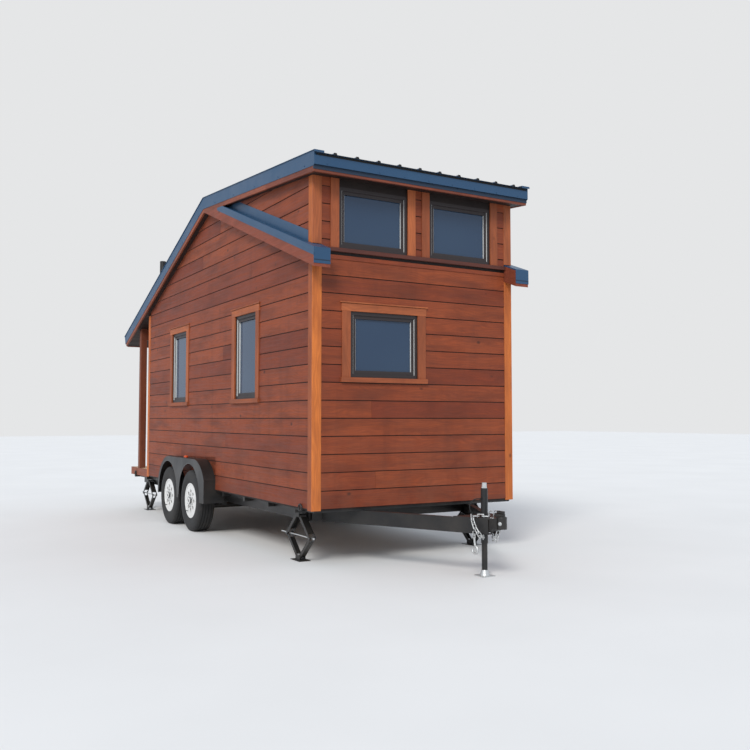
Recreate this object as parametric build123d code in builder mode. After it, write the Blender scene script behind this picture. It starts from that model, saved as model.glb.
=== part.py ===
from build123d import *
import os
from math import atan, atan2, cos, pi, radians, sin, tan

# A tiny house on a tandem-axle trailer. X runs across the trailer, the tongue points
# to -Y, the porch is at +Y, and Z is up from the ground under the middle of the house.

# Lengths along the trailer are measured from the front face of the corner boards.
tongue_reach = 1300     # from there forward to the tip of the coupler
eave_reach = 6513       # and back to the edge of the porch roof
house_length = 5430     # to the rear face of the rear corner boards
house_width = 2310      # across the outer faces of the corner boards
board_proud = 12        # corner boards stand this far off the siding
wall = 120              # studs, sheathing and siding
wall_bottom = 515       # lower edge of the siding, and top of the trailer's frame
floor_thick = 105

# Roof
ridge_along = 2830
ridge_top = 4000
main_rise = 0.372       # fall per unit of length behind the ridge, and of the side roofs
dormer_rise = 0.0826    # fall per unit of length of the high roof in front of the ridge
roof_depth = 160        # rafters, deck and soffit, measured plumb
roof_cover = 24         # from the deck to the top of the edge trims, measured plumb
side_overhang = 78      # past the corner boards
front_overhang = 185
trim_thick = 4          # folded steel edge trims, hems included
trim_lap = 100          # how far the edge trims reach over the roof sheets
cap_proud = 8           # and out past the rake plates under them
cap_end = 20            # height of their closed front ends
fascia_board = 22
fascia_drop = 190       # bottom of the wooden fascia under the roof's top line
rake_drop = 140         # bottom of the rake plates under the roof's top line
sheet_reach = 20        # the sheets and the rake caps run on past the front trim
eave_drop = 44          # top of the front trim's face under the roof's top line
eave_face_drop = 128    # foot of that face
eave_foot_drop = 165    # foot of the strip that is folded back under it
eave_fold = 12          # the flange over the face stands this far back
eave_step = 18          # and the strip under it this far
sheet = 3
rib_pitch = 229
rib_height = 17
rib_foot = 44
rib_crown = 22
rib_count = 10

# Side roofs that follow the old front slope beside the dormer
pent_depth = 165
pent_cover = 12
pent_rake = 50
pent_return = 77        # how far their boxed front ends reach in over the front wall
pent_front_drop = 145

# Boards on the walls
corner_board = 94
casing = 89
casing_proud = 19
head_cap = 14
head_cap_reach = 26
sill_high = 46
sill_reach = 34
apron_high = 60

# Windows: along and up to the middle of each opening, then its width and height
side_window_width = 600
side_window_height = 910
side_window_sill = 1560
side_windows_along = (1637, 3948)
front_window_across = -386
front_window_width = 748
front_window_height = 618
front_window_drop = 1198    # from the high windows' sill down to this window's
clerestory_across = 505
clerestory_width = 756
clerestory_height = 580
clerestory_head_room = 73   # from the high windows up to the front wall's head
window_frame = 34       # face width of the fixed frame
window_sash = 32        # face width of the sash inside it
frame_depth = 80
sash_depth = 44
sash_step = 12          # the sash sits this far behind the frame
glass_thick = 20        # sealed double glazing
glass_seat = 8          # the glass reaches this far into the sash
opening_play = 3        # packed gap round a frame in its opening

# Entry door in the rear wall
door_width = 810
door_head_room = 203    # from the opening up to the rear wall's head
door_leaf = 44
door_jamb = 30
door_stop = 12
door_light_width = 500
door_light_up = 1050    # from the door's foot to the foot of its glass
door_light_margin = 127 # from its glass to the top of the door

# Porch
porch_reach = 6300
deck_top = 615
deck_board = 27
deck_fascia = 110
post_wide = 90
post_along = 5830
beam_high = 140

# Trailer
rail_high = 140
rail_wide = 50
rail_wall = 7
rail_across = 945       # middle of each main rail
edge_rail_high = 50
edge_rail_wide = 60
edge_rail_across = 1015
cross_pitch = 600
frame_front = 20
frame_rear = 6230
header_along = 420      # the deep front header, where the tongue rails end
front_plate = 18        # shallow plate over the tongue rails, in front of the header
tongue_rail_high = 127
tongue_root = 838       # outer face of the tongue rails at the header
tongue_nose = 62        # the same at the coupler
tongue_end = 1150
coupler_wide = 110
coupler_high = 103
coupler_top = 528
coupler_heel = 390      # height of the coupler's lower edge where it meets the rails
ball_radius = 29.8
ball_depth = 45
socket_radius = 44
socket_round = 8
plate = 10
plate_length = 300      # the coupler's top plate, back from the rails' nose
plate_lead = 60         # and forward over its body
plate_play = 0.3        # round the jack's tube

# Tongue jack
jack_along = -1020
jack_tube = 60
jack_tube_top = 740
jack_tube_bottom = 280
jack_leg = 50
jack_leg_top = 470
jack_cap_radius = 21
jack_cap_high = 48
jack_socket_foot = 44   # the leg's socket is a cone: its radius at the foot plate
jack_socket_head = 28   # and at its top
jack_socket_high = 46
jack_plate_wide = 130
jack_plate = 8
jack_flange = 96
leg_play = 0.3          # between the leg and the tube that it slides in

# Cable from the jack's tube down to the coupler's plate: across and up from the jack's
# middle, from the face of the upper gland to the face of the lower one
cable = 9
cable_route = ((-44, 660), (-80, 664), (-128, 652), (-160, 612), (-152, 560), (-116, 519))
cable_fit = 0.45        # share of the shorter run that each bend takes
gland = 14
gland_sunk = 16         # the glands reach this far back from their faces

# Wheels
wheel_radius = 365
tyre_width = 205
flank_low = 62          # the tyre's sides are flat from here over the bead seat
flank_high = 102        # up to here
tread_round = 14
tread_drop = 10
rim_radius = 196
rim_width = 178
rim_wall = 6
rim_lip = 12            # the rim's flanges stand this far over the bead seat
bead_setback = 8
hub_radius = 52
wheel_face = 125        # outer side of the tyres past the corner boards
axle_along = (3090, 3950)
disc_holes = 8
disc_hole_radius = 23
disc_hole_circle = 112
disc_inset = 18         # the wheel disc lies this far inside the tyre's outer side
disc_thick = 8
spindle_radius = 24
spindle_play = 0.05
axle_radius = 32
axle_drop = 70
hub_reach = 46          # hub and spindle, either side of the wheel's middle
cap_radius = 38
spring_half = 300
spring_thick = 22
spring_wide = 60
spring_bite = 2         # the spring's seat sinks this far into the beam
hanger_wide = 50
axle_inset = 14         # the beams end this far inside the wheel boxes
riser = 20              # the upright that carries each spindle
cap_reach = 26

# Fenders
fender_face = 138       # outer face past the corner boards
fender_top = 868
fender_foot = 372
fender_sheet = 4
fender_ends = (985, 860)      # forward and back of the middle between the wheels
fender_flats = (650, 360)     # the flat top's ends, from the same middle
fender_bends = (640, 520)     # height where the bend of the front and of the rear end starts
fender_front_shoulder = (890, 762)
fender_rear_shoulder = (735, 728)
arch_radius = 396
arch_up = 415           # height of the arches' middle
fender_inner = 112      # how far the wheel box reaches in past the corner boards' face

# Stabiliser jacks
prop_along = (525, 5750)
prop_across = 1015
prop_top = 465
prop_pivot = 30         # pivots lie this far either side of the middle
prop_pivot_up = 34      # foot pivots above the ground
prop_pivot_down = 34    # head pivots under the trailer's side rail
prop_half_span = 250    # from the middle to the knees, as it stands
prop_lift = 0.6         # feet stand this little over the ground, the wheels carry
arm_plate = 3
arm_high = 34
upper_arm_half = 32
lower_arm_half = 24
arm_pin = 6
pin_head = 2            # the knee pins stand out this far
pin_play = 0.05
arm_web_setback = 42
prop_foot_wide = 120
prop_foot_long = 200
prop_foot_plate = 5
prop_head_wide = 96
prop_head_long = 150
prop_head_plate = 6
screw_radius = 6.5
screw_spare = 180
screw_head = 20
screw_nose = 18         # from the front knee to the screw's head
screw_play = 0.3        # between the screw and the knee pins that it runs between
ear_gap = 4             # from the arms to the ears of the head and foot
open_play = 0.4         # round the pin of the one pivot that is left open

# Values worked out from the sizes above
front = (tongue_reach - eave_reach) / 2
rear = front + house_length
ridge = front + ridge_along
half = house_width / 2
skin = half - board_proud
front_skin = front + board_proud
rear_skin = rear - board_proud
inner = skin - wall
roof_half = half + side_overhang
front_edge = front - front_overhang
rear_edge = front + eave_reach
floor_top = wall_bottom + floor_thick
main_angle = atan(main_rise)
dormer_angle = atan(dormer_rise)
eave_cut = sin(main_angle) * cos(main_angle)
wheel_middle = half + wheel_face - tyre_width / 2
fender_middle = front + sum(axle_along) / len(axle_along)
prop_height = prop_top - prop_lift
knee_up = prop_lift + (prop_height - prop_pivot_up - prop_pivot_down) / 2 + prop_pivot_up

os.makedirs("parts", exist_ok=True)


def save(name, built):
    """Write one finished piece under its own name."""
    built.part.label = name
    export_step(built.part, f"parts/{name}.step")


def side_plane(x):
    """A sketch plane across the trailer at x, whose own axes are Y and Z."""
    return Plane(origin=(x, 0, 0), x_dir=(0, 1, 0), z_dir=(1, 0, 0))


def face_plane(y):
    """A sketch plane along the trailer at y, seen from the front: its axes are X and Z."""
    return Plane(origin=(0, y, 0), x_dir=(1, 0, 0), z_dir=(0, -1, 0))


def top_line(y):
    """Height of the roof's top line: the high roof in front of the ridge, the long slope behind."""
    return ridge_top - (dormer_rise * (ridge - y) if y < ridge else main_rise * (y - ridge))


def pent_line(y):
    """Height of the side roofs' top line, on the slope that mirrors the long one."""
    return ridge_top - main_rise * (ridge - y)


def roof_points(depth, y_front, y_rear):
    """The roof's line at a plumb depth, with its rear end cut square to the slope."""
    y_end = y_rear - depth * eave_cut
    return [(y, top_line(y) - depth) for y in (y_front, ridge, y_end)]


def roof_band(upper, lower, y_front, y_rear):
    """Outline of a strip along the whole roof between two plumb depths."""
    return roof_points(upper, y_front, y_rear) + roof_points(lower, y_front, y_rear)[::-1]


def outline(points):
    """A face with these corners in the sketch that is open."""
    Polygon(*points, align=None)


def fender_shape(inset, foot):
    """The fender seen from the side, drawn in from its skin by inset and cut off at foot."""
    top = fender_top - inset
    front_flat, rear_flat = [flat - inset / 2 for flat in fender_flats]
    front_end, rear_end = [end - inset for end in fender_ends]
    front_bend, rear_bend = fender_bends
    front_shoulder, rear_shoulder = [(along - 0.7 * inset, up - 0.7 * inset)
                                     for along, up in (fender_front_shoulder, fender_rear_shoulder)]
    with BuildSketch() as shape:
        with BuildLine():
            Polyline((-front_flat, top), (rear_flat, top))
            ThreePointArc((rear_flat, top), rear_shoulder, (rear_end, rear_bend))
            Polyline((rear_end, rear_bend), (rear_end, foot), (-front_end, foot), (-front_end, front_bend))
            ThreePointArc((-front_end, front_bend), (-front_shoulder[0], front_shoulder[1]),
                          (-front_flat, top))
        make_face()
    return shape.sketch


# Floor
with BuildPart() as floor:
    with BuildSketch(Plane.XY.offset(wall_bottom)):
        with Locations((0, (front_skin + rear_skin) / 2)):
            Rectangle(2 * inner, rear_skin - front_skin - 2 * wall)
    extrude(amount=floor_thick)
save("floor", floor)


# Walls
wall_head = roof_cover + roof_depth
front_wall_head = top_line(front_skin) - wall_head
rear_wall_head = top_line(rear_skin) - wall_head
clerestory_sill = front_wall_head - clerestory_head_room - clerestory_height
front_window_sill = clerestory_sill - front_window_drop
door_height = rear_wall_head - floor_top - door_head_room
door_light_height = door_height - door_jamb - opening_play - door_light_margin - door_light_up


def side_wall(sign):
    """One long wall, with its windows cut through and the wheel box cut out of its foot."""
    outer = sign * skin
    with BuildPart() as built:
        with BuildSketch(side_plane(outer)):
            roof_foot = [(y, top_line(y) - wall_head) for y in (front_skin, ridge, rear_skin)]
            outline([(front_skin, wall_bottom)] + roof_foot + [(rear_skin, wall_bottom)])
        extrude(amount=-sign * wall)
        with BuildSketch(side_plane(outer)):
            for along in side_windows_along:
                with Locations((front + along, side_window_sill + side_window_height / 2)):
                    Rectangle(side_window_width, side_window_height)
            with Locations((fender_middle, 0)):
                add(fender_shape(0, fender_foot))
        extrude(amount=-sign * wall, mode=Mode.SUBTRACT)
    return built


for side, sign in (("left", -1), ("right", 1)):
    save(f"{side}_wall", side_wall(sign))

with BuildPart() as front_wall:
    with BuildSketch(face_plane(front_skin)):
        with Locations((0, (wall_bottom + front_wall_head) / 2)):
            Rectangle(2 * inner, front_wall_head - wall_bottom)
        with Locations((front_window_across, front_window_sill + front_window_height / 2)):
            Rectangle(front_window_width, front_window_height, mode=Mode.SUBTRACT)
        for across in (-clerestory_across, clerestory_across):
            with Locations((across, clerestory_sill + clerestory_height / 2)):
                Rectangle(clerestory_width, clerestory_height, mode=Mode.SUBTRACT)
    extrude(amount=-wall)
save("front_wall", front_wall)

with BuildPart() as rear_wall:
    with BuildSketch(face_plane(rear_skin)):
        with Locations((0, (wall_bottom + rear_wall_head) / 2)):
            Rectangle(2 * inner, rear_wall_head - wall_bottom)
        with Locations((0, floor_top + door_height / 2)):
            Rectangle(door_width, door_height, mode=Mode.SUBTRACT)
    extrude(amount=wall)
save("rear_wall", rear_wall)

# Roof decks, meeting on a plumb plane at the ridge
deck_half = roof_half - trim_thick - fascia_board
fascia_front = front_edge + eave_step + trim_thick
deck_front = fascia_front + fascia_board
deck_rear = rear_edge - (trim_thick + fascia_board) / cos(main_angle)
deck_line = roof_band(roof_cover, wall_head, deck_front, deck_rear)
with BuildPart() as dormer_roof:
    with BuildSketch(side_plane(-deck_half)):
        outline([deck_line[0], deck_line[1], deck_line[4], deck_line[5]])
    extrude(amount=2 * deck_half)
save("dormer_roof", dormer_roof)

with BuildPart() as rear_roof:
    with BuildSketch(side_plane(-deck_half)):
        outline(deck_line[1:5])
    extrude(amount=2 * deck_half)
save("rear_roof", rear_roof)


# Ribbed roof sheets over both slopes
def roof_sheets(direction, angle, run):
    """Ribbed steel over one slope, from the ridge down, drawn across the slope."""
    slope = Plane(origin=(0, ridge, ridge_top - roof_cover),
                  x_dir=(-direction, 0, 0), z_dir=(0, direction * cos(angle), -sin(angle)))
    with BuildPart() as built:
        with BuildSketch(slope):
            with Locations((0, sheet / 2)):
                Rectangle(2 * deck_half, sheet)
            for across in [(i - (rib_count - 1) / 2) * rib_pitch for i in range(rib_count)]:
                Polygon((across - rib_foot / 2, sheet / 2), (across - rib_crown / 2, rib_height),
                        (across + rib_crown / 2, rib_height), (across + rib_foot / 2, sheet / 2), align=None)
        extrude(amount=run / cos(angle))
        ridge_side = Plane(origin=(0, ridge, 0), z_dir=(0, direction, 0))
        split(bisect_by=ridge_side, keep=Keep.TOP)
    return built.part


with BuildPart() as sheets:
    add(roof_sheets(-1, dormer_angle, ridge - front_edge + sheet_reach))
    add(roof_sheets(1, main_angle, deck_rear - ridge))
save("roof_sheets", sheets)


# Folded steel edge trims: the rakes wrap over the ridge from the front eave to the rear one
def eave_trim():
    """The front trim from the side: a flange under the sheets, a face and a strip folded back."""
    head = top_line(front_edge)
    top = head - eave_drop
    step = head - eave_face_drop
    foot = head - eave_foot_drop
    fold = front_edge + eave_fold
    strip = front_edge + eave_step
    return [(fold, top_line(fold) - roof_cover), (fold, top), (front_edge, top), (front_edge, step),
            (strip, step), (strip, foot), (strip + trim_thick, foot),
            (strip + trim_thick, step + trim_thick), (front_edge + trim_thick, step + trim_thick),
            (front_edge + trim_thick, top - trim_thick), (fold + trim_thick, top - trim_thick),
            (fold + trim_thick, top_line(fold + trim_thick) - roof_cover)]


cap_front = front_edge - sheet_reach
cap_half = roof_half + cap_proud
with BuildPart() as roof_trims:
    for sign in (-1, 1):
        with BuildSketch(side_plane(sign * roof_half)):
            plate_line = roof_band(0, rake_drop, front_edge, rear_edge)
            corner = (front_edge, top_line(front_edge) - eave_face_drop)
            tucked = front_edge + eave_step
            outline(plate_line[:5] + [(tucked, top_line(tucked) - rake_drop), corner])
        extrude(amount=-sign * trim_thick)
        with BuildSketch(side_plane(sign * cap_half)):
            outline(roof_band(0, trim_thick, cap_front, rear_edge))
            outline([(cap_front, top_line(cap_front)), (cap_front + trim_thick, top_line(cap_front)),
                     (cap_front + trim_thick, top_line(cap_front) - cap_end),
                     (cap_front, top_line(cap_front) - cap_end)])
        extrude(amount=-sign * trim_lap)
    with BuildSketch(side_plane(-roof_half)):
        outline(roof_band(0, trim_thick, ridge - trim_lap, ridge + trim_lap))
        outline(eave_trim())
        upper = roof_points(0, front_edge, rear_edge)[2]
        lower = roof_points(rake_drop, front_edge, rear_edge)[2]
        inward = (-trim_thick * cos(main_angle), trim_thick * sin(main_angle))
        outline([upper, lower, (lower[0] + inward[0], lower[1] + inward[1]),
                 (upper[0] + inward[0], upper[1] + inward[1])])
    extrude(amount=2 * roof_half)
save("roof_trims", roof_trims)

# Wooden fascia behind and below the steel trims
with BuildPart() as fascia:
    for sign in (-1, 1):
        with BuildSketch(side_plane(sign * (roof_half - trim_thick))):
            outline(roof_band(roof_cover, fascia_drop, fascia_front, deck_rear))
        extrude(amount=-sign * fascia_board)
    with BuildSketch(side_plane(-deck_half)):
        head = top_line(fascia_front) - roof_cover
        foot = top_line(fascia_front) - fascia_drop
        outline([(fascia_front, head), (deck_front, head), (deck_front, foot), (fascia_front, foot)])
        upper = roof_points(roof_cover, front_edge, deck_rear)[2]
        lower = roof_points(fascia_drop, front_edge, deck_rear)[2]
        outward = (fascia_board * cos(main_angle), -fascia_board * sin(main_angle))
        outline([upper, lower, (lower[0] + outward[0], lower[1] + outward[1]),
                 (upper[0] + outward[0], upper[1] + outward[1])])
    extrude(amount=2 * deck_half)
save("fascia_boards", fascia)


# Side roofs beside the dormer
def pent_outline(upper, lower):
    """A side roof's strip between two plumb depths, cut off under the high roof's edge."""
    fall = main_rise - dormer_rise
    meet = ridge - (fascia_drop - upper) / fall
    start = ridge - max(fascia_drop - lower, 0) / fall
    points = [(start, top_line(start) - fascia_drop), (meet, pent_line(meet) - upper),
              (front_edge, pent_line(front_edge) - upper), (front_edge, pent_line(front_edge) - lower)]
    if lower > fascia_drop:
        points.append((ridge, pent_line(ridge) - lower))
    return points


pent_foot = pent_cover + pent_depth
with BuildPart() as pent_roofs:
    for sign in (-1, 1):
        with BuildSketch(side_plane(sign * skin)):
            outline(pent_outline(pent_cover, pent_foot))
        extrude(amount=sign * (roof_half - trim_thick - skin))
        with BuildSketch(side_plane(sign * skin)):
            outline([(front_skin, pent_line(front_skin) - pent_cover),
                     (front_edge, pent_line(front_edge) - pent_cover),
                     (front_edge, pent_line(front_edge) - pent_foot),
                     (front_skin, pent_line(front_skin) - pent_foot)])
        extrude(amount=-sign * pent_return)
    with BuildSketch(face_plane(front_edge + trim_thick)):
        Rectangle(4 * half, 3 * ridge_top)
    extrude(amount=2 * trim_thick, mode=Mode.SUBTRACT)
save("pent_roofs", pent_roofs)

with BuildPart() as pent_flashings:
    for sign in (-1, 1):
        with BuildSketch(side_plane(sign * skin)):
            outline(pent_outline(0, pent_cover))
        extrude(amount=sign * (roof_half - skin))
        with BuildSketch(side_plane(sign * roof_half)):
            outline(pent_outline(0, pent_rake))
        extrude(amount=-sign * trim_thick)
        with BuildSketch(side_plane(sign * skin)):
            outline([(front_skin, pent_line(front_skin)), (front_edge, pent_line(front_edge)),
                     (front_edge, pent_line(front_edge) - pent_cover),
                     (front_skin, pent_line(front_skin) - pent_cover)])
        extrude(amount=-sign * pent_return)
        with BuildSketch(side_plane(sign * (skin - pent_return))):
            head = pent_line(front_edge) - pent_cover / 2
            foot = pent_line(front_edge) - pent_front_drop
            outline([(front_edge, head), (front_edge + trim_thick, head),
                     (front_edge + trim_thick, foot), (front_edge, foot)])
        extrude(amount=sign * (pent_return + roof_half - skin))
save("pent_flashings", pent_flashings)


# Corner boards: folded pairs up to the side roofs, then on up the dormer
def board(x0, x1, y0, y1, z0, z1):
    """A plain board between two corners, in whatever part is open."""
    with Locations(((x0 + x1) / 2, (y0 + y1) / 2, (z0 + z1) / 2)):
        Box(abs(x1 - x0), abs(y1 - y0), abs(z1 - z0))


pent_under = pent_line(front) - pent_foot
rear_head = top_line(rear) - fascia_drop
with BuildPart() as corner_boards:
    for sign in (-1, 1):
        face = sign * (half - corner_board)
        board(sign * half, face, front, front_skin, wall_bottom, pent_line(front_edge) - pent_foot)
        board(sign * half, sign * skin, front_skin, front + casing, wall_bottom, pent_under)
        board(sign * half, face, front, front_skin, pent_line(front_skin), top_line(front) - wall_head)
        with BuildSketch(side_plane(sign * skin)):
            edges = (front_skin, front + casing)
            outline([(y, pent_line(y)) for y in edges] + [(y, top_line(y) - wall_head) for y in edges[::-1]])
        extrude(amount=sign * board_proud)
        board(sign * half, sign * skin, rear - casing, rear, wall_bottom, rear_head)
        board(sign * skin, face, rear_skin, rear, wall_bottom, rear_head)
save("corner_boards", corner_boards)


# Casings, sills and head caps round the openings
def casing_set(plane, width, height, head, foot):
    """Side boards on both sides of an opening, and its head and sill where it has them."""
    with BuildPart(plane) as built:
        for sign in (-1, 1):
            board(sign * width / 2, sign * (width / 2 + casing), 0, height, 0, casing_proud)
        if head:
            wide = width / 2 + casing + head_cap / 2
            top = height + head
            board(-wide, wide, height, top, 0, casing_proud)
            board(-wide - head_cap, wide + head_cap, top, top + head_cap, 0, head_cap_reach)
        if foot:
            wide = width / 2 + casing + head_cap
            board(-wide, wide, -foot, 0, 0, sill_reach)
    return built.part


def wall_place(side, along, up):
    """A plane on a wall's siding, X along the wall, Y up and Z out of it."""
    origins = {"left": (-skin, front + along, up), "right": (skin, front + along, up),
               "front": (along, front_skin, up), "rear": (along, rear_skin, up)}
    outs = {"left": (-1, 0, 0), "right": (1, 0, 0), "front": (0, -1, 0), "rear": (0, 1, 0)}
    runs = {"left": (0, -1, 0), "right": (0, 1, 0), "front": (1, 0, 0), "rear": (-1, 0, 0)}
    return Plane(origin=origins[side], x_dir=runs[side], z_dir=outs[side])


side_size = (side_window_width, side_window_height)
clerestory_size = (clerestory_width, clerestory_height)
windows = [(wall_place(side, along, side_window_sill), side_size)
           for side in ("left", "right") for along in side_windows_along]
windows += [(wall_place("front", front_window_across, front_window_sill),
             (front_window_width, front_window_height))]
clerestories = [(wall_place("front", across, clerestory_sill), clerestory_size)
                for across in (-clerestory_across, clerestory_across)]
door_place = wall_place("rear", 0, floor_top)

with BuildPart() as casings:
    for place, (width, height) in windows:
        add(casing_set(place, width, height, casing - head_cap, sill_high))
    clerestory_side = top_line(front_skin - casing_proud) - wall_head - clerestory_sill
    for place, (width, height) in clerestories:
        add(casing_set(place, width, clerestory_side, 0, 0))
    band = half - corner_board
    board(-band, band, front_skin - sill_reach, front_skin, clerestory_sill - sill_high, clerestory_sill)
    board(-band, band, front_skin - board_proud, front_skin, clerestory_sill - sill_high - apron_high,
          clerestory_sill - sill_high)
    add(casing_set(door_place, door_width, door_height, casing, 0))
save("casings", casings)


# Windows: a fixed frame, a sash stepped back inside it and sealed glass
def window_frame_set(plane, width, height):
    """One window's frame and sash, closed all round its glass."""
    with BuildPart(plane) as built:
        with BuildSketch(plane):
            with Locations((0, height / 2)):
                Rectangle(width, height)
                Rectangle(width - 2 * window_frame, height - 2 * window_frame, mode=Mode.SUBTRACT)
        extrude(amount=-frame_depth)
        with BuildSketch(plane.offset(-sash_step)):
            with Locations((0, height / 2)):
                Rectangle(width - 2 * window_frame, height - 2 * window_frame)
                reveal = window_frame + window_sash
                Rectangle(width - 2 * reveal, height - 2 * reveal, mode=Mode.SUBTRACT)
        extrude(amount=-sash_depth)
        with BuildSketch(plane.offset(-sash_step - (sash_depth - glass_thick) / 2)):
            with Locations((0, height / 2)):
                seat = reveal - glass_seat
                Rectangle(width - 2 * seat, height - 2 * seat)
        extrude(amount=-glass_thick, mode=Mode.SUBTRACT)
    return built.part


def pane(plane, width, height):
    """The sealed glass of one window."""
    seat = window_frame + window_sash - glass_seat
    with BuildPart(plane) as built:
        with BuildSketch(plane.offset(-sash_step - (sash_depth - glass_thick) / 2)):
            with Locations((0, height / 2)):
                Rectangle(width - 2 * seat, height - 2 * seat)
        extrude(amount=-glass_thick)
    return built.part


with BuildPart() as window_frames:
    for place, (width, height) in windows + clerestories:
        add(window_frame_set(place, width, height))
save("window_frames", window_frames)

door_out = rear_skin - (wall - door_leaf) / 2
light_foot = floor_top + door_light_up
with BuildPart() as window_glass:
    for place, (width, height) in windows + clerestories:
        add(pane(place, width, height))
    board(-door_light_width / 2, door_light_width / 2, door_out - (door_leaf + glass_thick) / 2,
          door_out - (door_leaf - glass_thick) / 2, light_foot, light_foot + door_light_height)
save("window_glass", window_glass)

# Entry door in its jambs, shut
with BuildPart() as entry_door:
    leaf_half = door_width / 2 - door_jamb - opening_play
    board(-leaf_half, leaf_half, door_out - door_leaf, door_out,
          floor_top + opening_play, floor_top + door_height - door_jamb - opening_play)
    with Locations((0, door_out - door_leaf / 2, light_foot + door_light_height / 2)):
        Box(door_light_width, 2 * door_leaf, door_light_height, mode=Mode.SUBTRACT)
save("entry_door", entry_door)

with BuildPart() as door_frame:
    with BuildSketch(face_plane(rear_skin - wall)):
        with Locations((0, floor_top + door_height / 2)):
            Rectangle(door_width, door_height)
        with Locations((0, floor_top + (door_height - door_jamb) / 2)):
            Rectangle(door_width - 2 * door_jamb, door_height - door_jamb, mode=Mode.SUBTRACT)
    extrude(amount=-wall)
    stop = door_out - door_leaf
    clear = door_width - 2 * door_jamb - 2 * door_stop
    with BuildSketch(face_plane(stop)):
        with Locations((0, floor_top + (door_height - door_jamb) / 2)):
            Rectangle(door_width - 2 * door_jamb, door_height - door_jamb)
        with Locations((0, floor_top + (door_height - door_jamb - door_stop) / 2)):
            Rectangle(clear, door_height - door_jamb - door_stop, mode=Mode.SUBTRACT)
    extrude(amount=door_stop)
save("door_frame", door_frame)

# Porch: a boarded deck, two posts and a beam under the long slope
with BuildPart() as porch_deck:
    deck_front_y = rear
    deck_rear_y = front + porch_reach
    board(-half, half, deck_front_y, deck_rear_y, deck_top - deck_board, deck_top)
    fascia_foot = deck_top - deck_fascia
    for sign in (-1, 1):
        board(sign * half, sign * (half - fascia_board), deck_front_y, deck_rear_y, fascia_foot, deck_top)
        joist = sign * rail_across
        board(joist - rail_wide / 2, joist + rail_wide / 2, deck_front_y, deck_rear_y, wall_bottom, deck_top)
    board(-half, half, deck_rear_y - fascia_board, deck_rear_y, fascia_foot, deck_top)
    board(-half, half, deck_front_y, deck_front_y + fascia_board, wall_bottom, deck_top)
save("porch_deck", porch_deck)

post_front = front + post_along
post_rear = post_front + post_wide
post_head = top_line(post_rear) - wall_head - beam_high
with BuildPart() as porch_frame:
    for sign in (-1, 1):
        board(sign * half, sign * (half - post_wide), post_front, post_rear, deck_top, post_head)
    with BuildSketch(side_plane(-half)):
        outline([(post_front, post_head), (post_rear, post_head),
                 (post_rear, top_line(post_rear) - wall_head),
                 (post_front, top_line(post_front) - wall_head)])
    extrude(amount=2 * half)
save("porch_frame", porch_frame)

# Trailer frame: channel rails, cross members and edge rails that the walls stand on
rail_foot = wall_bottom - rail_high
edge_foot = wall_bottom - edge_rail_high
tongue_top = wall_bottom - front_plate
tongue_foot = tongue_top - tongue_rail_high
box_front = fender_middle - fender_ends[0]
box_rear = fender_middle + fender_ends[1]


def channel(x, y0, y1, foot, wide, high, opens):
    """A channel rail along the trailer, open to the side that opens points at."""
    board(x - wide / 2, x + wide / 2, y0, y1, foot, foot + high)
    inset = opens * rail_wall
    with Locations((x + inset, (y0 + y1) / 2, foot + high / 2)):
        Box(wide, y1 - y0, high - 2 * rail_wall, mode=Mode.SUBTRACT)


with BuildPart() as chassis:
    header = front + header_along
    frame_end = front + frame_rear
    for sign in (-1, 1):
        channel(sign * rail_across, header, frame_end, rail_foot, rail_wide, rail_high, -sign)
    for sign in (-1, 1):
        for y0, y1 in ((header, box_front), (box_rear, frame_end)):
            board(sign * edge_rail_across - edge_rail_wide / 2, sign * edge_rail_across + edge_rail_wide / 2,
                  y0, y1, edge_foot, wall_bottom)
    reach = half - fascia_board - board_proud
    board(-reach, reach, front + frame_front, header, tongue_top, wall_bottom)
    count = int((frame_end - header) // cross_pitch) + 1
    for i in range(count):
        y = header + rail_wide / 2 + i * (frame_end - header - rail_wide) / (count - 1)
        clear_of_box = y + rail_wide / 2 < box_front or y - rail_wide / 2 > box_rear
        span = reach if clear_of_box else rail_across
        board(-span, span, y - rail_wide / 2, y + rail_wide / 2, edge_foot, wall_bottom)
    board(-rail_across, rail_across, header, header + rail_wide, rail_foot, wall_bottom)
    board(-rail_across, rail_across, frame_end - rail_wide, frame_end, rail_foot, wall_bottom)
    for along in prop_along:
        for sign in (-1, 1):
            middle = (sign * prop_across, front + along)
            with Locations((middle[0], middle[1], edge_foot - prop_head_plate / 2)):
                Box(prop_head_wide, prop_head_long, prop_head_plate)
            ear_foot = prop_top - prop_pivot_down - arm_high / 2
            for ear in (-1, 1):
                ear_in = middle[0] + ear * (upper_arm_half + ear_gap)
                board(ear_in, ear_in + ear * arm_plate, middle[1] - prop_pivot - arm_high / 2,
                      middle[1] + prop_pivot + arm_high / 2, ear_foot, edge_foot)
                with Locations((middle[0], middle[1] + ear * prop_pivot, prop_top - prop_pivot_down)):
                    Cylinder(arm_pin, 2 * (upper_arm_half + ear_gap + arm_plate), rotation=(0, 90, 0))
save("chassis", chassis)

# Tongue: two channel rails that meet at the coupler, with the jack's plate between them
tongue_tip = front - tongue_end
tongue_slope = atan2(tongue_root - tongue_nose, tongue_end + header_along)
with BuildPart() as tongue_rails:
    for sign in (-1, 1):
        root = sign * tongue_root
        nose = sign * tongue_nose
        inward = -sign * rail_wide / cos(tongue_slope)
        with BuildSketch(Plane.XY.offset(tongue_foot)):
            outline([(root, header), (nose, tongue_tip), (nose + inward, tongue_tip), (root + inward, header)])
        extrude(amount=tongue_rail_high)
        web = -sign * rail_wall / cos(tongue_slope)
        with BuildSketch(Plane.XY.offset(tongue_foot + rail_wall)):
            outline([(root + web, header), (nose + web, tongue_tip), (nose + 2 * inward, tongue_tip),
                     (root + 2 * inward, header)])
        extrude(amount=tongue_rail_high - 2 * rail_wall, mode=Mode.SUBTRACT)
save("tongue_rails", tongue_rails)

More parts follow.
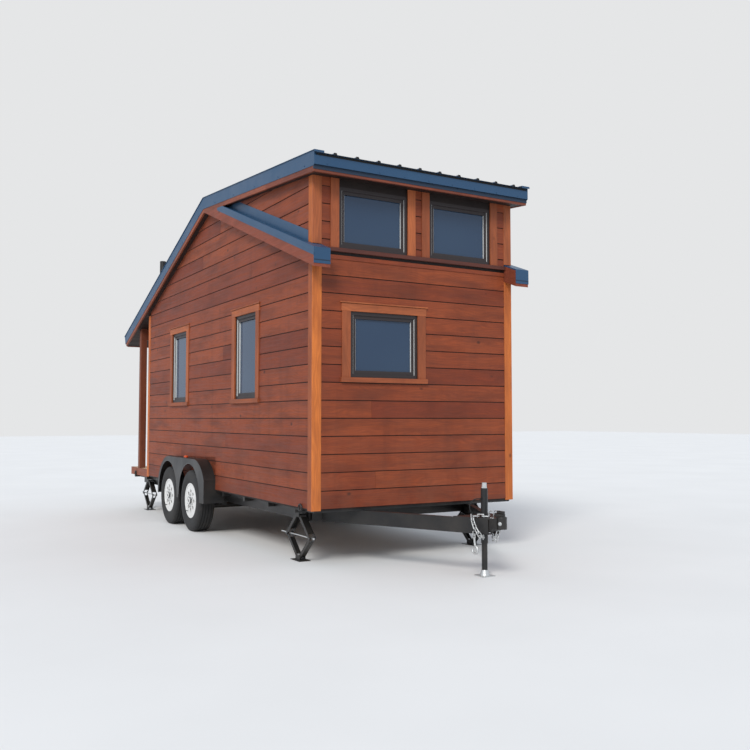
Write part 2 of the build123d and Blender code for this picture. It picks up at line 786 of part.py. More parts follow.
jack_y = front + jack_along
coupler_tip = front - tongue_reach
ball_y = coupler_tip + socket_radius
plate_top = tongue_top + plate
route = [Vector(across, jack_y, up) for across, up in cable_route]


def cable_gland(face, beside):
    """A gland whose face is square to the cable that comes out of it towards the next point."""
    with BuildPart() as built:
        with BuildSketch(Plane(origin=face, z_dir=face - beside)):
            Circle(gland / 2)
        extrude(amount=gland_sunk)
    return built.part


with BuildPart() as coupler:
    body_foot = coupler_top - coupler_high
    with Locations((0, ball_y, (body_foot + coupler_top) / 2)):
        Cylinder(socket_radius, coupler_high)
    fillet(coupler.edges().filter_by(GeomType.CIRCLE).group_by(Axis.Z)[-1], socket_round)
    plate_front = tongue_tip - plate_lead
    with BuildSketch(side_plane(-coupler_wide / 2)):
        outline([(ball_y, body_foot), (ball_y + socket_radius, body_foot), (tongue_tip, coupler_heel),
                 (tongue_tip, plate_top), (plate_front, plate_top), (ball_y, coupler_top - socket_round)])
    extrude(amount=coupler_wide)
    plate_rear = tongue_tip + plate_length
    plate_half = tongue_nose + (plate_length * (tongue_root - tongue_nose)) / (tongue_end + header_along)
    with BuildSketch(Plane.XY.offset(tongue_top)):
        outline([(-coupler_wide / 2, plate_front), (coupler_wide / 2, plate_front), (tongue_nose, tongue_tip),
                 (plate_half, plate_rear), (-plate_half, plate_rear), (-tongue_nose, tongue_tip)])
    extrude(amount=plate)
    add(cable_gland(route[-1], route[-2]))
    with Locations((0, jack_y, tongue_top + plate / 2)):
        Cylinder(jack_tube / 2 + plate_play, 4 * plate, mode=Mode.SUBTRACT)
    with Locations((0, ball_y, body_foot + ball_depth / 2)):
        Cylinder(ball_radius, ball_depth, mode=Mode.SUBTRACT)
save("coupler", coupler)

# Tongue jack: a tube through the plate, held by a flange, with a capped head
with BuildPart() as jack_tube_part:
    with BuildSketch(Plane.XY.offset(jack_tube_bottom)):
        with Locations((0, jack_y)):
            Circle(jack_tube / 2)
            Circle(jack_leg / 2 + leg_play, mode=Mode.SUBTRACT)
    extrude(amount=jack_tube_top - jack_tube_bottom)
    with BuildSketch(Plane.XY.offset(plate_top)):
        with Locations((0, jack_y)):
            Circle(jack_flange / 2)
            Circle(jack_leg / 2 + leg_play, mode=Mode.SUBTRACT)
    extrude(amount=plate)
    add(cable_gland(route[0], route[1]))
    with Locations((0, jack_y, jack_tube_top + plate / 2)):
        Cylinder(jack_tube / 2, plate)
    with Locations((0, jack_y, jack_tube_top + plate + jack_cap_high / 2)):
        Cylinder(jack_cap_radius, jack_cap_high)
save("tongue_jack_tube", jack_tube_part)

with BuildPart() as jack_leg_part:
    with Locations((0, jack_y, jack_plate / 2)):
        Box(jack_plate_wide, jack_plate_wide, jack_plate)
    with Locations((0, jack_y, jack_plate + jack_socket_high / 2)):
        Cone(jack_socket_foot, jack_socket_head, jack_socket_high)
    with Locations((0, jack_y, (jack_plate + jack_leg_top) / 2)):
        Cylinder(jack_leg / 2, jack_leg_top - jack_plate)
save("tongue_jack_leg", jack_leg_part)

# The cable's loop, straight runs joined by tangent bends
bends = []
for before, corner, after in zip(route, route[1:], route[2:]):
    turn = radians((corner - before).get_angle(after - corner))
    shorter = min((corner - before).length, (after - corner).length)
    bends.append(cable_fit * shorter / tan(turn / 2))
print("cable bends", [round(bend, 1) for bend in bends])
with BuildPart() as jack_cable:
    with BuildLine() as cable_line:
        FilletPolyline(*route, radius=bends)
    with BuildSketch(Plane(origin=route[0], z_dir=route[1] - route[0])):
        Circle(cable / 2)
    sweep(path=cable_line.line)
print("cable length", round(sum(edge.length for edge in cable_line.edges()), 1), "volume over section",
      round(jack_cable.part.volume / (pi * cable ** 2 / 4), 1))
save("jack_cable", jack_cable)

# Axles: dropped beams under leaf springs, with a spindle at each end
with BuildPart() as axles:
    for along in axle_along:
        y = front + along
        beam_up = wheel_radius - axle_drop
        beam_end = half - fender_inner - axle_inset
        with Locations((0, y, beam_up)):
            Cylinder(axle_radius, 2 * beam_end, rotation=(0, 90, 0))
        for sign in (-1, 1):
            board(sign * beam_end, sign * (beam_end - riser), y - axle_radius, y + axle_radius,
                  beam_up, wheel_radius + axle_radius)
            spindle_end = wheel_middle + hub_reach
            with Locations((sign * (beam_end - riser / 2 + spindle_end) / 2, y, wheel_radius)):
                Cylinder(spindle_radius, spindle_end - beam_end + riser / 2, rotation=(0, 90, 0))
            spring_foot = beam_up + axle_radius - spring_bite
            near = sign * rail_across - spring_wide / 2
            far = near + spring_wide
            board(near, far, y - spring_half, y + spring_half, spring_foot, spring_foot + spring_thick)
            for end in (-1, 1):
                hanger = y + end * spring_half
                board(near, far, hanger - end * hanger_wide, hanger, spring_foot, rail_foot)
save("axles", axles)

# Fenders over each pair of wheels, their inner half let into the wall
fender_out = half + fender_face
fender_in = half - fender_inner
with BuildPart() as fenders:
    for sign in (-1, 1):
        with BuildSketch(side_plane(sign * fender_out)):
            with Locations((fender_middle, 0)):
                add(fender_shape(0, fender_foot))
                add(fender_shape(fender_sheet, fender_foot - fender_sheet), mode=Mode.SUBTRACT)
        extrude(amount=-sign * (fender_out - fender_in))
        with BuildSketch(side_plane(sign * fender_out)):
            with Locations((fender_middle, 0)):
                add(fender_shape(0, fender_foot))
            for along in axle_along:
                with Locations((front + along, arch_up)):
                    Circle(arch_radius, mode=Mode.SUBTRACT)
                with Locations((front + along, (arch_up + fender_foot) / 2 - arch_up)):
                    Rectangle(2 * arch_radius, arch_up + fender_foot, mode=Mode.SUBTRACT)
        extrude(amount=-sign * fender_sheet)
        with BuildSketch(side_plane(sign * fender_in)):
            with Locations((fender_middle, 0)):
                add(fender_shape(fender_sheet / 2, wall_bottom))
        extrude(amount=sign * fender_sheet)
save("fenders", fenders)

# Wheels
for place, sign, along in (("front_left", -1, axle_along[0]), ("rear_left", -1, axle_along[1]),
                           ("front_right", 1, axle_along[0]), ("rear_right", 1, axle_along[1])):
    hub = Plane(origin=(sign * wheel_middle, front + along, wheel_radius), x_dir=(0, 1, 0),
                z_dir=(sign, 0, 0))
    with BuildPart() as tyre:
        with BuildSketch(Plane(origin=hub.origin, x_dir=hub.z_dir, z_dir=(0, 1, 0))):
            bead = rim_width / 2 - rim_wall - bead_setback
            swell = tyre_width / 2
            tread = swell - tread_round
            flank = [(bead, rim_radius), (swell, rim_radius + flank_low), (swell, rim_radius + flank_high),
                     (tread, wheel_radius - tread_drop), (tread - tread_drop, wheel_radius)]
            Polygon(*[(-x, -z) for x, z in flank], *[(x, -z) for x, z in flank[::-1]], align=None)
        revolve(axis=Axis(hub.origin, hub.z_dir))
    save(f"{place}_tyre", tyre)

    with BuildPart() as rim:
        with BuildSketch(hub.offset(-rim_width / 2)):
            Circle(rim_radius)
            Circle(rim_radius - rim_wall, mode=Mode.SUBTRACT)
        extrude(amount=rim_width)
        for face in (-1, 1):
            with BuildSketch(hub.offset(face * rim_width / 2 - (rim_wall if face > 0 else 0))):
                Circle(rim_radius + rim_lip)
                Circle(rim_radius - rim_wall, mode=Mode.SUBTRACT)
            extrude(amount=rim_wall)
        disc_out = tyre_width / 2 - disc_inset
        with BuildSketch(hub.offset(disc_out)):
            Circle(rim_radius - rim_wall / 2)
            with PolarLocations(disc_hole_circle, disc_holes):
                Circle(disc_hole_radius, mode=Mode.SUBTRACT)
        extrude(amount=-disc_thick)
        with BuildSketch(hub.offset(-hub_reach)):
            Circle(hub_radius)
        extrude(amount=disc_out + hub_reach)
        with BuildSketch(hub.offset(disc_out)):
            Circle(cap_radius)
        extrude(amount=cap_reach)
        with BuildSketch(hub.offset(-hub_reach)):
            Circle(spindle_radius + spindle_play)
        extrude(amount=2 * hub_reach + spindle_play, mode=Mode.SUBTRACT)
    save(f"{place}_rim", rim)


# Stabiliser jacks: two upper and two lower arms in a diamond, a foot, and the screw across it
def arm(start, end, half_width, web_side, x, hole, knee):
    """A pressed arm: two side plates joined by a web along the edge that faces outward."""
    length = (end - start).length
    run = (end - start) / length
    plane = Plane(origin=(x, start.Y, start.Z), x_dir=run, z_dir=(1, 0, 0))
    with BuildPart() as built:
        for side in (-1, 1):
            inner_face = half_width - arm_plate if side > 0 else -half_width
            with BuildSketch(plane.offset(inner_face)):
                with Locations((length / 2, 0)):
                    SlotCenterToCenter(length, arm_high)
                for at, radius in ((0, hole), (length, knee)):
                    if radius:
                        with Locations((at, 0)):
                            Circle(radius, mode=Mode.SUBTRACT)
            extrude(amount=arm_plate)
        with BuildSketch(plane.offset(-half_width)):
            with Locations((length / 2, web_side * (arm_high - arm_plate) / 2)):
                Rectangle(length - 2 * arm_web_setback, arm_plate)
        extrude(amount=2 * half_width)
    return built.part


foot_pivot_up = prop_lift + prop_pivot_up
head_pivot_up = prop_top - prop_pivot_down
pin_hole = arm_pin + pin_play
for place, sign, along in (("front_left", -1, prop_along[0]), ("rear_left", -1, prop_along[1]),
                           ("front_right", 1, prop_along[0]), ("rear_right", 1, prop_along[1])):
    x = sign * prop_across
    y = front + along
    for name, way in (("front", -1), ("rear", 1)):
        head_pivot = Vector(0, y + way * prop_pivot, head_pivot_up)
        knee_pivot = Vector(0, y + way * prop_half_span, knee_up)
        foot_pivot = Vector(0, y + way * prop_pivot, foot_pivot_up)
        with BuildPart() as upper_arm:
            add(arm(head_pivot, knee_pivot, upper_arm_half, way, x, pin_hole, 0))
            for side in (-1, 1):
                pin_in = screw_radius + screw_play
                pin_out = upper_arm_half + pin_head
                with Locations((x + side * (pin_in + pin_out) / 2, knee_pivot.Y, knee_up)):
                    Cylinder(arm_pin, pin_out - pin_in, rotation=(0, 90, 0))
        save(f"{place}_jack_{name}_upper_arm", upper_arm)
        with BuildPart() as lower_arm:
            open_pivot = pin_hole if name == "front" else arm_pin + open_play
            add(arm(foot_pivot, knee_pivot, lower_arm_half, -way, x, open_pivot, pin_hole))
        save(f"{place}_jack_{name}_lower_arm", lower_arm)
    with BuildPart() as foot_part:
        board(x - prop_foot_wide / 2, x + prop_foot_wide / 2, y - prop_foot_long / 2, y + prop_foot_long / 2,
              prop_lift, prop_lift + prop_foot_plate)
        for side in (-1, 1):
            ear_in = x + side * (lower_arm_half + ear_gap)
            board(ear_in, ear_in + side * arm_plate, y - prop_pivot - arm_high / 2,
                  y + prop_pivot + arm_high / 2, prop_lift, foot_pivot_up + arm_high / 2)
            with Locations((x, y + side * prop_pivot, foot_pivot_up)):
                Cylinder(arm_pin, 2 * (lower_arm_half + ear_gap + arm_plate), rotation=(0, 90, 0))
    save(f"{place}_jack_foot", foot_part)
    with BuildPart() as screw:
        screw_front = y - prop_half_span - screw_nose
        screw_rear = y + prop_half_span + screw_spare
        with Locations((x, (screw_front + screw_rear) / 2, knee_up)):
            Cylinder(screw_radius, screw_rear - screw_front, rotation=(90, 0, 0))
        with Locations((x, screw_front - screw_head / 2, knee_up)):
            Cylinder(screw_head / 2, screw_head, rotation=(90, 0, 0))
    save(f"{place}_jack_screw", screw)
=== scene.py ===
"""Looks of the tiny house on wheels: boards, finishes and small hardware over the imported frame."""
import logging
import math
import random
from collections.abc import Callable
from dataclasses import dataclass, field
from enum import Enum

import bpy
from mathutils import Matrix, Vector
from mathutils.geometry import convex_hull_2d


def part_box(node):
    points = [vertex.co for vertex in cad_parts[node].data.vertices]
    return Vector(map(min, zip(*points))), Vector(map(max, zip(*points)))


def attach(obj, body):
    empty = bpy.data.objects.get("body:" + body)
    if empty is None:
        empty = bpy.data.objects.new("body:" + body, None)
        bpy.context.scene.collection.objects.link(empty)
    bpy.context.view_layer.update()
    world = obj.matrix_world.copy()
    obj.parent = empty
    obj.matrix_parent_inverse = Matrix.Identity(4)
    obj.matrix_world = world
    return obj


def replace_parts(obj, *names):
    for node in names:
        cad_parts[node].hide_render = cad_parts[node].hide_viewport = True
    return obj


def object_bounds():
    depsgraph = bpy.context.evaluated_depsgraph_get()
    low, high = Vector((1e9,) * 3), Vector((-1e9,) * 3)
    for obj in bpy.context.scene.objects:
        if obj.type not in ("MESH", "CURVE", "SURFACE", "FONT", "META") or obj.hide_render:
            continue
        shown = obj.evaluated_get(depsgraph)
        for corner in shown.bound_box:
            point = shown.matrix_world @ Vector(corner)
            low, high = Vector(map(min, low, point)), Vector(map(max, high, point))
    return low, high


logging.basicConfig(level=logging.INFO, format="%(message)s")
log = logging.getLogger("tiny_house")

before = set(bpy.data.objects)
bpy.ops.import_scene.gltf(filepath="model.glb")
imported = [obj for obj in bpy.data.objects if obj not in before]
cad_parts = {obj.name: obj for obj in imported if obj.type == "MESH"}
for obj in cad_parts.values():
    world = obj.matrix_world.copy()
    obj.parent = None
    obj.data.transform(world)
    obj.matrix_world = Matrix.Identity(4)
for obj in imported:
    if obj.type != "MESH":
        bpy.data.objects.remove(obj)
SIZE_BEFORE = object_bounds()

Outline = list[tuple[float, float]]
Colour = tuple[float, float, float, float]

X, Y, Z = Vector((1, 0, 0)), Vector((0, 1, 0)), Vector((0, 0, 1))
HOUSE = "house"
PLACES = ("front_left", "rear_left", "front_right", "rear_right")

# Sizes of the walls and the roof in metres, read from the frame where it gives them
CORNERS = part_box("corner_boards")
HALF = CORNERS[1][0]
FRONT = CORNERS[0][1]
REAR = CORNERS[1][1]
WALL_FOOT = CORNERS[0][2]
PROUD = 0.012                   # thickness of a corner board
SKIN = HALF - PROUD             # the wall's outside, behind its boards
RIDGE_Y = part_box("dormer_roof")[1][1]
RIDGE_Z = SIZE_BEFORE[1][2]
ROOF_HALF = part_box("pent_flashings")[1][0]
EAVE_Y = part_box("pent_flashings")[0][1]
SHEET_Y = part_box("roof_sheets")[0][1]
MAIN_RISE = 0.372               # rise of the long slope and the side roofs, per metre
DORMER_RISE = 0.0826            # rise of the roof in front of the ridge, per metre
ROOF_COVER = 0.024              # from the top line down to the boards under the sheets
WALL_HEAD = 0.184               # from the top line down to the walls
HIGH_SILL = 2.7                 # sills above this belong to the clerestories
CORNER_WIDE = 0.094
CASING = 0.089
CASING_PROUD = 0.019
CAP = 0.014
SILL = 0.046
SILL_PROUD = 0.034
APRON = 0.06
PENT_DEEP = 0.177               # from the side roofs' top line down to their underside
RIB_PITCH = 0.229
RIBS = 10
SCREW = 0.0042                  # radius of a roofing screw's head
WASHER_THICK = 0.0016
SLIT = 0.0005                   # clearance between faces that would lie in one plane
POINT_RADIUS = 0.01             # curves' point radius, small so that their boxes stay true
JACK_Y = sum(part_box("tongue_jack_leg")[i][1] for i in (0, 1)) / 2


def top_line(y: float) -> float:
    """Height of the roof's top line at y."""
    return RIDGE_Z - (DORMER_RISE * (RIDGE_Y - y) if y < RIDGE_Y else MAIN_RISE * (y - RIDGE_Y))


def pent_line(y: float) -> float:
    """Height of the side roofs' top line at y."""
    return RIDGE_Z - MAIN_RISE * (RIDGE_Y - y)


def srgb(red: int, green: int, blue: int, alpha: float = 1.0) -> Colour:
    """A screen colour from 0 to 255, as the linear colour that the shaders take."""
    parts = [(c / 255 + 0.055) / 1.055 if c > 10 else 0 for c in (red, green, blue)]
    return tuple(p ** 2.4 if p else c / 255 / 12.92 for p, c in zip(parts, (red, green, blue))) + (alpha,)


def islands(node: str) -> list[tuple[Vector, Vector]]:
    """Lowest and highest corner of each loose solid of a CAD node.

    Args:
        node: the CAD node's name.

    Returns:
        One pair of corners for each solid, in the order that they are met.
    """
    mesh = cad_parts[node].data
    keys = [tuple(round(c, 5) for c in v.co) for v in mesh.vertices]
    parent = {key: key for key in keys}

    def root(key: tuple) -> tuple:
        """The corner that stands for a corner's solid.

        Args:
            key: the corner.

        Returns:
            The one that all corners of its solid lead to.
        """
        while parent[key] != key:
            parent[key] = parent[parent[key]]
            key = parent[key]
        return key

    for polygon in mesh.polygons:
        first = root(keys[polygon.vertices[0]])
        for i in polygon.vertices[1:]:
            parent[root(keys[i])] = first
    boxes: dict[tuple, list[tuple]] = {}
    for key in set(keys):
        boxes.setdefault(root(key), []).append(key)
    pairs = [(Vector(map(min, zip(*points))), Vector(map(max, zip(*points)))) for points in boxes.values()]
    return sorted(pairs, key=lambda pair: tuple(round(c, 3) for c in pair[0]))


# Shader graphs

class Graph:
    """Adds nodes to one shader tree and links them."""

    def __init__(self, tree: bpy.types.NodeTree) -> None:
        """Keeps the tree that the nodes go into."""
        self.tree = tree

    def feed(self, target: bpy.types.NodeSocket, value: object) -> None:
        """Links a socket, or sets a plain value.

        Args:
            target: the socket that takes it.
            value: a socket or a value.
        """
        if isinstance(value, bpy.types.NodeSocket):
            self.tree.links.new(value, target)
        else:
            target.default_value = value

    def node(self, kind: str, inputs: dict | None = None, **settings: object) -> bpy.types.Node:
        """Adds a node, with its settings and its inputs by name or number.

        Args:
            kind: the node's type.
            inputs: a socket or value for each input that is fed.
            settings: values of the node's own settings.

        Returns:
            The node.
        """
        made = self.tree.nodes.new(kind)
        for key, value in settings.items():
            setattr(made, key, value)
        for key, value in (inputs or {}).items():
            self.feed(made.inputs[key], value)
        return made

    def math(self, operation: str, a: object, b: object = 0.0, clamp: bool = False) -> bpy.types.NodeSocket:
        """One sum on two values."""
        return self.node("ShaderNodeMath", {0: a, 1: b}, operation=operation, use_clamp=clamp).outputs[0]

    def spread(self, value: object, low: float, high: float, to: tuple = (0.0, 1.0)) -> bpy.types.NodeSocket:
        """Maps low to high onto another range, clamped."""
        return self.node("ShaderNodeMapRange", {0: value, 1: low, 2: high, 3: to[0], 4: to[1]}).outputs[0]

    def mix(self, factor: object, a: object, b: object, blend: str = "MIX") -> bpy.types.NodeSocket:
        """Mixes two colours.

        Args:
            factor: share of the second, from 0 to 1.
            a: the first.
            b: the second.
            blend: how they mix.

        Returns:
            The mixed colour.
        """
        made = self.node("ShaderNodeMix", data_type="RGBA", blend_type=blend)
        for target, value in ((made.inputs[0], factor), (made.inputs[6], a), (made.inputs[7], b)):
            self.feed(target, value)
        return made.outputs[2]

    def stretch(self, vector: object, by: tuple) -> bpy.types.NodeSocket:
        """Scales a vector along each axis."""
        return self.node("ShaderNodeVectorMath", {0: vector, 1: by}, operation="MULTIPLY").outputs[0]

    def shift(self, vector: object, by: object) -> bpy.types.NodeSocket:
        """Moves a vector."""
        return self.node("ShaderNodeVectorMath", {0: vector, 1: by}, operation="ADD").outputs[0]

    def noise(self, vector: object, scale: float, detail: float = 2.0,
              rough: float = 0.5) -> bpy.types.NodeSocket:
        """Plain noise from 0 to 1."""
        values = {"Vector": vector, "Scale": scale, "Detail": detail, "Roughness": rough}
        return self.node("ShaderNodeTexNoise", values).outputs[0]

    def group(self, name: str, inputs: dict) -> bpy.types.Node:
        """Uses a shared node group.

        Args:
            name: the group's name.
            inputs: a socket or value for each input.

        Returns:
            The group's node.
        """
        made = self.tree.nodes.new("ShaderNodeGroup")
        made.node_tree = bpy.data.node_groups[name]
        for key, value in inputs.items():
            self.feed(made.inputs[key], value)
        return made


def new_group(name: str, inputs: dict[str, str], outputs: dict[str, str]) -> tuple[Graph, dict, dict]:
    """Starts a node group.

    Args:
        name: the group's name.
        inputs: socket type by input name, without the prefix NodeSocket.
        outputs: the same for the outputs.

    Returns:
        The group's graph, the sockets that bring its inputs in, and those that take its outputs.
    """
    tree = bpy.data.node_groups.new(name, "ShaderNodeTree")
    for label, kind in inputs.items():
        tree.interface.new_socket(label, in_out="INPUT", socket_type=f"NodeSocket{kind}")
    for label, kind in outputs.items():
        tree.interface.new_socket(label, in_out="OUTPUT", socket_type=f"NodeSocket{kind}")
    graph = Graph(tree)
    source = graph.node("NodeGroupInput")
    sink = graph.node("NodeGroupOutput")
    return graph, {key: source.outputs[key] for key in inputs}, {key: sink.inputs[key] for key in outputs}


def wood_grain_group() -> None:
    """Streaks, figure, fibres and knots of a board, with a tone of its own."""
    graph, given, out = new_group(
        "Wood Grain", {"Vector": "Vector", "Tone": "Float", "Light": "Color", "Mid": "Color", "Dark": "Color",
                       "Knots": "Float"}, {"Color": "Color", "Roughness": "Float", "Height": "Float"})
    vector = graph.shift(given["Vector"], graph.node("ShaderNodeCombineXYZ", {
        2: graph.math("MULTIPLY", given["Tone"], 9.0)}).outputs[0])
    blotch = graph.noise(graph.stretch(vector, (1.6, 7.0, 1.0)), 1.0, 3.0, 0.55)
    streak = graph.noise(graph.stretch(vector, (1.8, 52.0, 1.0)), 1.0, 5.0, 0.62)
    fibre = graph.noise(graph.stretch(vector, (9.0, 420.0, 1.0)), 1.0, 2.0, 0.6)
    warp = graph.noise(graph.stretch(vector, (2.3, 11.0, 1.0)), 1.0, 1.0, 0.4)
    across = graph.node("ShaderNodeSeparateXYZ", {0: vector}).outputs[1]
    phase = graph.math("ADD", graph.math("MULTIPLY", across, 260.0), graph.math("MULTIPLY", warp, 46.0))
    figure = graph.spread(graph.math("SINE", phase), -1.0, 1.0)
    spots = graph.stretch(vector, (4.2, 6.0, 1.0))
    cells = graph.node("ShaderNodeTexVoronoi", {"Vector": spots, "Scale": 1.0})
    chance = graph.node("ShaderNodeSeparateColor", {0: cells.outputs["Color"]}).outputs[0]
    near = graph.spread(cells.outputs["Distance"], 0.05, 0.13, (1.0, 0.0))
    picked = graph.math("GREATER_THAN", graph.math("MULTIPLY", chance, given["Knots"]), 0.5)
    knot = graph.math("MULTIPLY", near, picked, clamp=True)
    light = graph.math("MULTIPLY", streak, 0.55)
    light = graph.math("ADD", light, graph.math("MULTIPLY", given["Tone"], 0.45))
    colour = graph.mix(graph.spread(light, 0.3, 0.75), given["Mid"], given["Light"])
    colour = graph.mix(graph.spread(blotch, 0.42, 0.72, (0.0, 0.6)), colour, given["Dark"])
    colour = graph.mix(graph.math("MULTIPLY", figure, 0.22), colour, given["Dark"])
    colour = graph.mix(graph.spread(fibre, 0.45, 0.8, (0.0, 0.4)), colour, given["Dark"])
    heart = graph.mix(0.6, given["Dark"], srgb(38, 20, 14))
    colour = graph.mix(graph.math("MULTIPLY", knot, 0.8), colour, heart)
    graph.feed(out["Color"], colour)
    graph.feed(out["Roughness"], graph.spread(streak, 0.3, 0.7, (0.5, 0.72)))
    height = graph.math("ADD", graph.math("MULTIPLY", fibre, 0.5), graph.math("MULTIPLY", streak, 0.5))
    graph.feed(out["Height"], graph.math("SUBTRACT", height, graph.math("MULTIPLY", knot, 0.4)))


def weathering_group() -> None:
    """Stains that run down, and road dust that lies thicker near the ground."""
    graph, given, out = new_group(
        "Weathering", {"Vector": "Vector", "Amount": "Float"}, {"Stain": "Float", "Dust": "Float"})
    runs = graph.noise(graph.stretch(given["Vector"], (7.0, 7.0, 0.9)), 1.0, 4.0, 0.6)
    height = graph.node("ShaderNodeSeparateXYZ", {0: given["Vector"]}).outputs[2]
    low = graph.spread(height, 0.2, 1.3, (1.0, 0.0))
    graph.feed(out["Stain"], graph.math("MULTIPLY", graph.spread(runs, 0.5, 0.8), given["Amount"]))
    patchy = graph.noise(given["Vector"], 3.5, 5.0, 0.65)
    dust = graph.math("MULTIPLY", graph.spread(patchy, 0.38, 0.8), graph.math("ADD", low, 0.25))
    graph.feed(out["Dust"], graph.math("MULTIPLY", dust, given["Amount"], clamp=True))


def coated_metal_group() -> None:
    """A coat with soft clouds, a fine peel and worn specks."""
    graph, given, out = new_group(
        "Coated Metal", {"Vector": "Vector", "Color": "Color", "Worn": "Color", "Wear": "Float",
                         "Gloss": "Float"}, {"Color": "Color", "Roughness": "Float", "Height": "Float"})
    cloud = graph.noise(given["Vector"], 2.2, 4.0, 0.6)
    peel = graph.noise(given["Vector"], 180.0, 2.0, 0.5)
    speck = graph.noise(given["Vector"], 38.0, 6.0, 0.75)
    colour = graph.mix(graph.spread(cloud, 0.35, 0.7, (0.0, 0.16)), given["Color"], given["Worn"])
    wear = graph.math("MULTIPLY", graph.spread(speck, 0.6, 0.75), given["Wear"], clamp=True)
    graph.feed(out["Color"], graph.mix(wear, colour, given["Worn"]))
    uneven = graph.spread(cloud, 0.3, 0.7, (-0.06, 0.12))
    graph.feed(out["Roughness"], graph.math("ADD", given["Gloss"], uneven))
    graph.feed(out["Height"], graph.math("ADD", graph.math("MULTIPLY", peel, 0.4), wear))


def board_joints_group() -> None:
    """Dark lines between boards of one width, and a tone for each board."""
    graph, given, out = new_group(
        "Board Joints", {"Place": "Float", "Width": "Float", "Gap": "Float"},
        {"Line": "Float", "Tone": "Float"})
    ratio = graph.math("DIVIDE", given["Place"], given["Width"])
    part = graph.math("FRACT", ratio)
    edge = graph.math("MINIMUM", part, graph.math("SUBTRACT", 1.0, part))
    limit = graph.math("DIVIDE", given["Gap"], given["Width"])
    graph.feed(out["Line"], graph.math("LESS_THAN", edge, limit))
    index = graph.node("ShaderNodeTexWhiteNoise", {"W": graph.math("FLOOR", ratio)}, noise_dimensions="1D")
    graph.feed(out["Tone"], index.outputs[0])


def make_groups() -> None:
    """Makes the node groups that several finishes share."""
    wood_grain_group()
    weathering_group()
    coated_metal_group()
    board_joints_group()


class Lie(Enum):
    """Which way the grain runs: along a board's own map, or along one axis of the object."""
    BOARD = "board"
    ALONG_X = "x"
    ALONG_Y = "y"
    ALONG_Z = "z"


@dataclass(frozen=True)
class Finish:
    """A named material, made the first time that it is asked for."""
    name: str

    def material(self) -> bpy.types.Material:
        """The material, made once.

        Returns:
            The material of this name.
        """
        made = bpy.data.materials.get(self.name)
        if made is None:
            made = bpy.data.materials.new(self.name)
            made.use_nodes = True
            graph = Graph(made.node_tree)
            self.dress(graph, made.node_tree.nodes["Principled BSDF"])
        return made

    def dress(self, graph: Graph, shader: bpy.types.Node) -> None:
        """Feeds the shader. Each kind of finish has its own."""
        raise NotImplementedError

    def bump(self, graph: Graph, shader: bpy.types.Node, height: object, strength: float,
             depth: float) -> None:
        """Adds a bump to the shader.

        Args:
            graph: the material's graph.
            shader: its main shader node.
            height: the heights.
            strength: how strongly they show, from 0 to 1.
            depth: their height in metres.
        """
        values = {"Strength": strength, "Distance": depth, "Height": height}
        graph.feed(shader.inputs["Normal"], graph.node("ShaderNodeBump", values).outputs[0])


@dataclass(frozen=True)
class Wood(Finish):
    """Stained or planed timber."""
    light: Colour = srgb(205, 130, 80)
    mid: Colour = srgb(180, 106, 66)
    dark: Colour = srgb(128, 72, 46)
    lie: Lie = Lie.BOARD
    knots: float = 0.8
    stain: float = 0.35
    board: float = 0.0

    def dress(self, graph: Graph, shader: bpy.types.Node) -> None:
        """Grain along the board, knots, weather stains and, where asked, joints between boards.

        Args:
            graph: the material's graph.
            shader: its main shader node.
        """
        place = graph.node("ShaderNodeTexCoord").outputs
        tone = graph.node("ShaderNodeAttribute", attribute_name="tone").outputs["Fac"]
        axes = graph.node("ShaderNodeSeparateXYZ", {0: place["Object"]}).outputs
        order = {Lie.ALONG_X: (0, 1, 2), Lie.ALONG_Y: (1, 0, 2), Lie.ALONG_Z: (2, 0, 1)}.get(self.lie)
        vector = place["UV"]
        line = None
        if order:
            side = graph.math("ADD", axes[order[1]], axes[order[2]])
            vector = graph.node("ShaderNodeCombineXYZ", {0: axes[order[0]], 1: side}).outputs[0]
            if self.board:
                values = {"Place": axes[order[1]], "Width": self.board, "Gap": 0.002}
                joints = graph.group("Board Joints", values)
                tone = joints.outputs["Tone"]
                line = joints.outputs["Line"]
        values = {"Vector": vector, "Tone": tone, "Light": self.light, "Mid": self.mid, "Dark": self.dark,
                  "Knots": self.knots}
        grain = graph.group("Wood Grain", values)
        weather = graph.group("Weathering", {"Vector": place["Object"], "Amount": self.stain})
        colour = graph.mix(weather.outputs["Stain"], grain.outputs["Color"], self.dark)
        colour = graph.mix(graph.math("MULTIPLY", weather.outputs["Dust"], 0.35), colour, srgb(150, 128, 108))
        if line is not None:
            colour = graph.mix(line, colour, srgb(16, 10, 8))
        graph.feed(shader.inputs["Base Color"], colour)
        graph.feed(shader.inputs["Roughness"], grain.outputs["Roughness"])
        shader.inputs["Specular IOR Level"].default_value = 0.35
        self.bump(graph, shader, grain.outputs["Height"], 0.5, 0.0012)


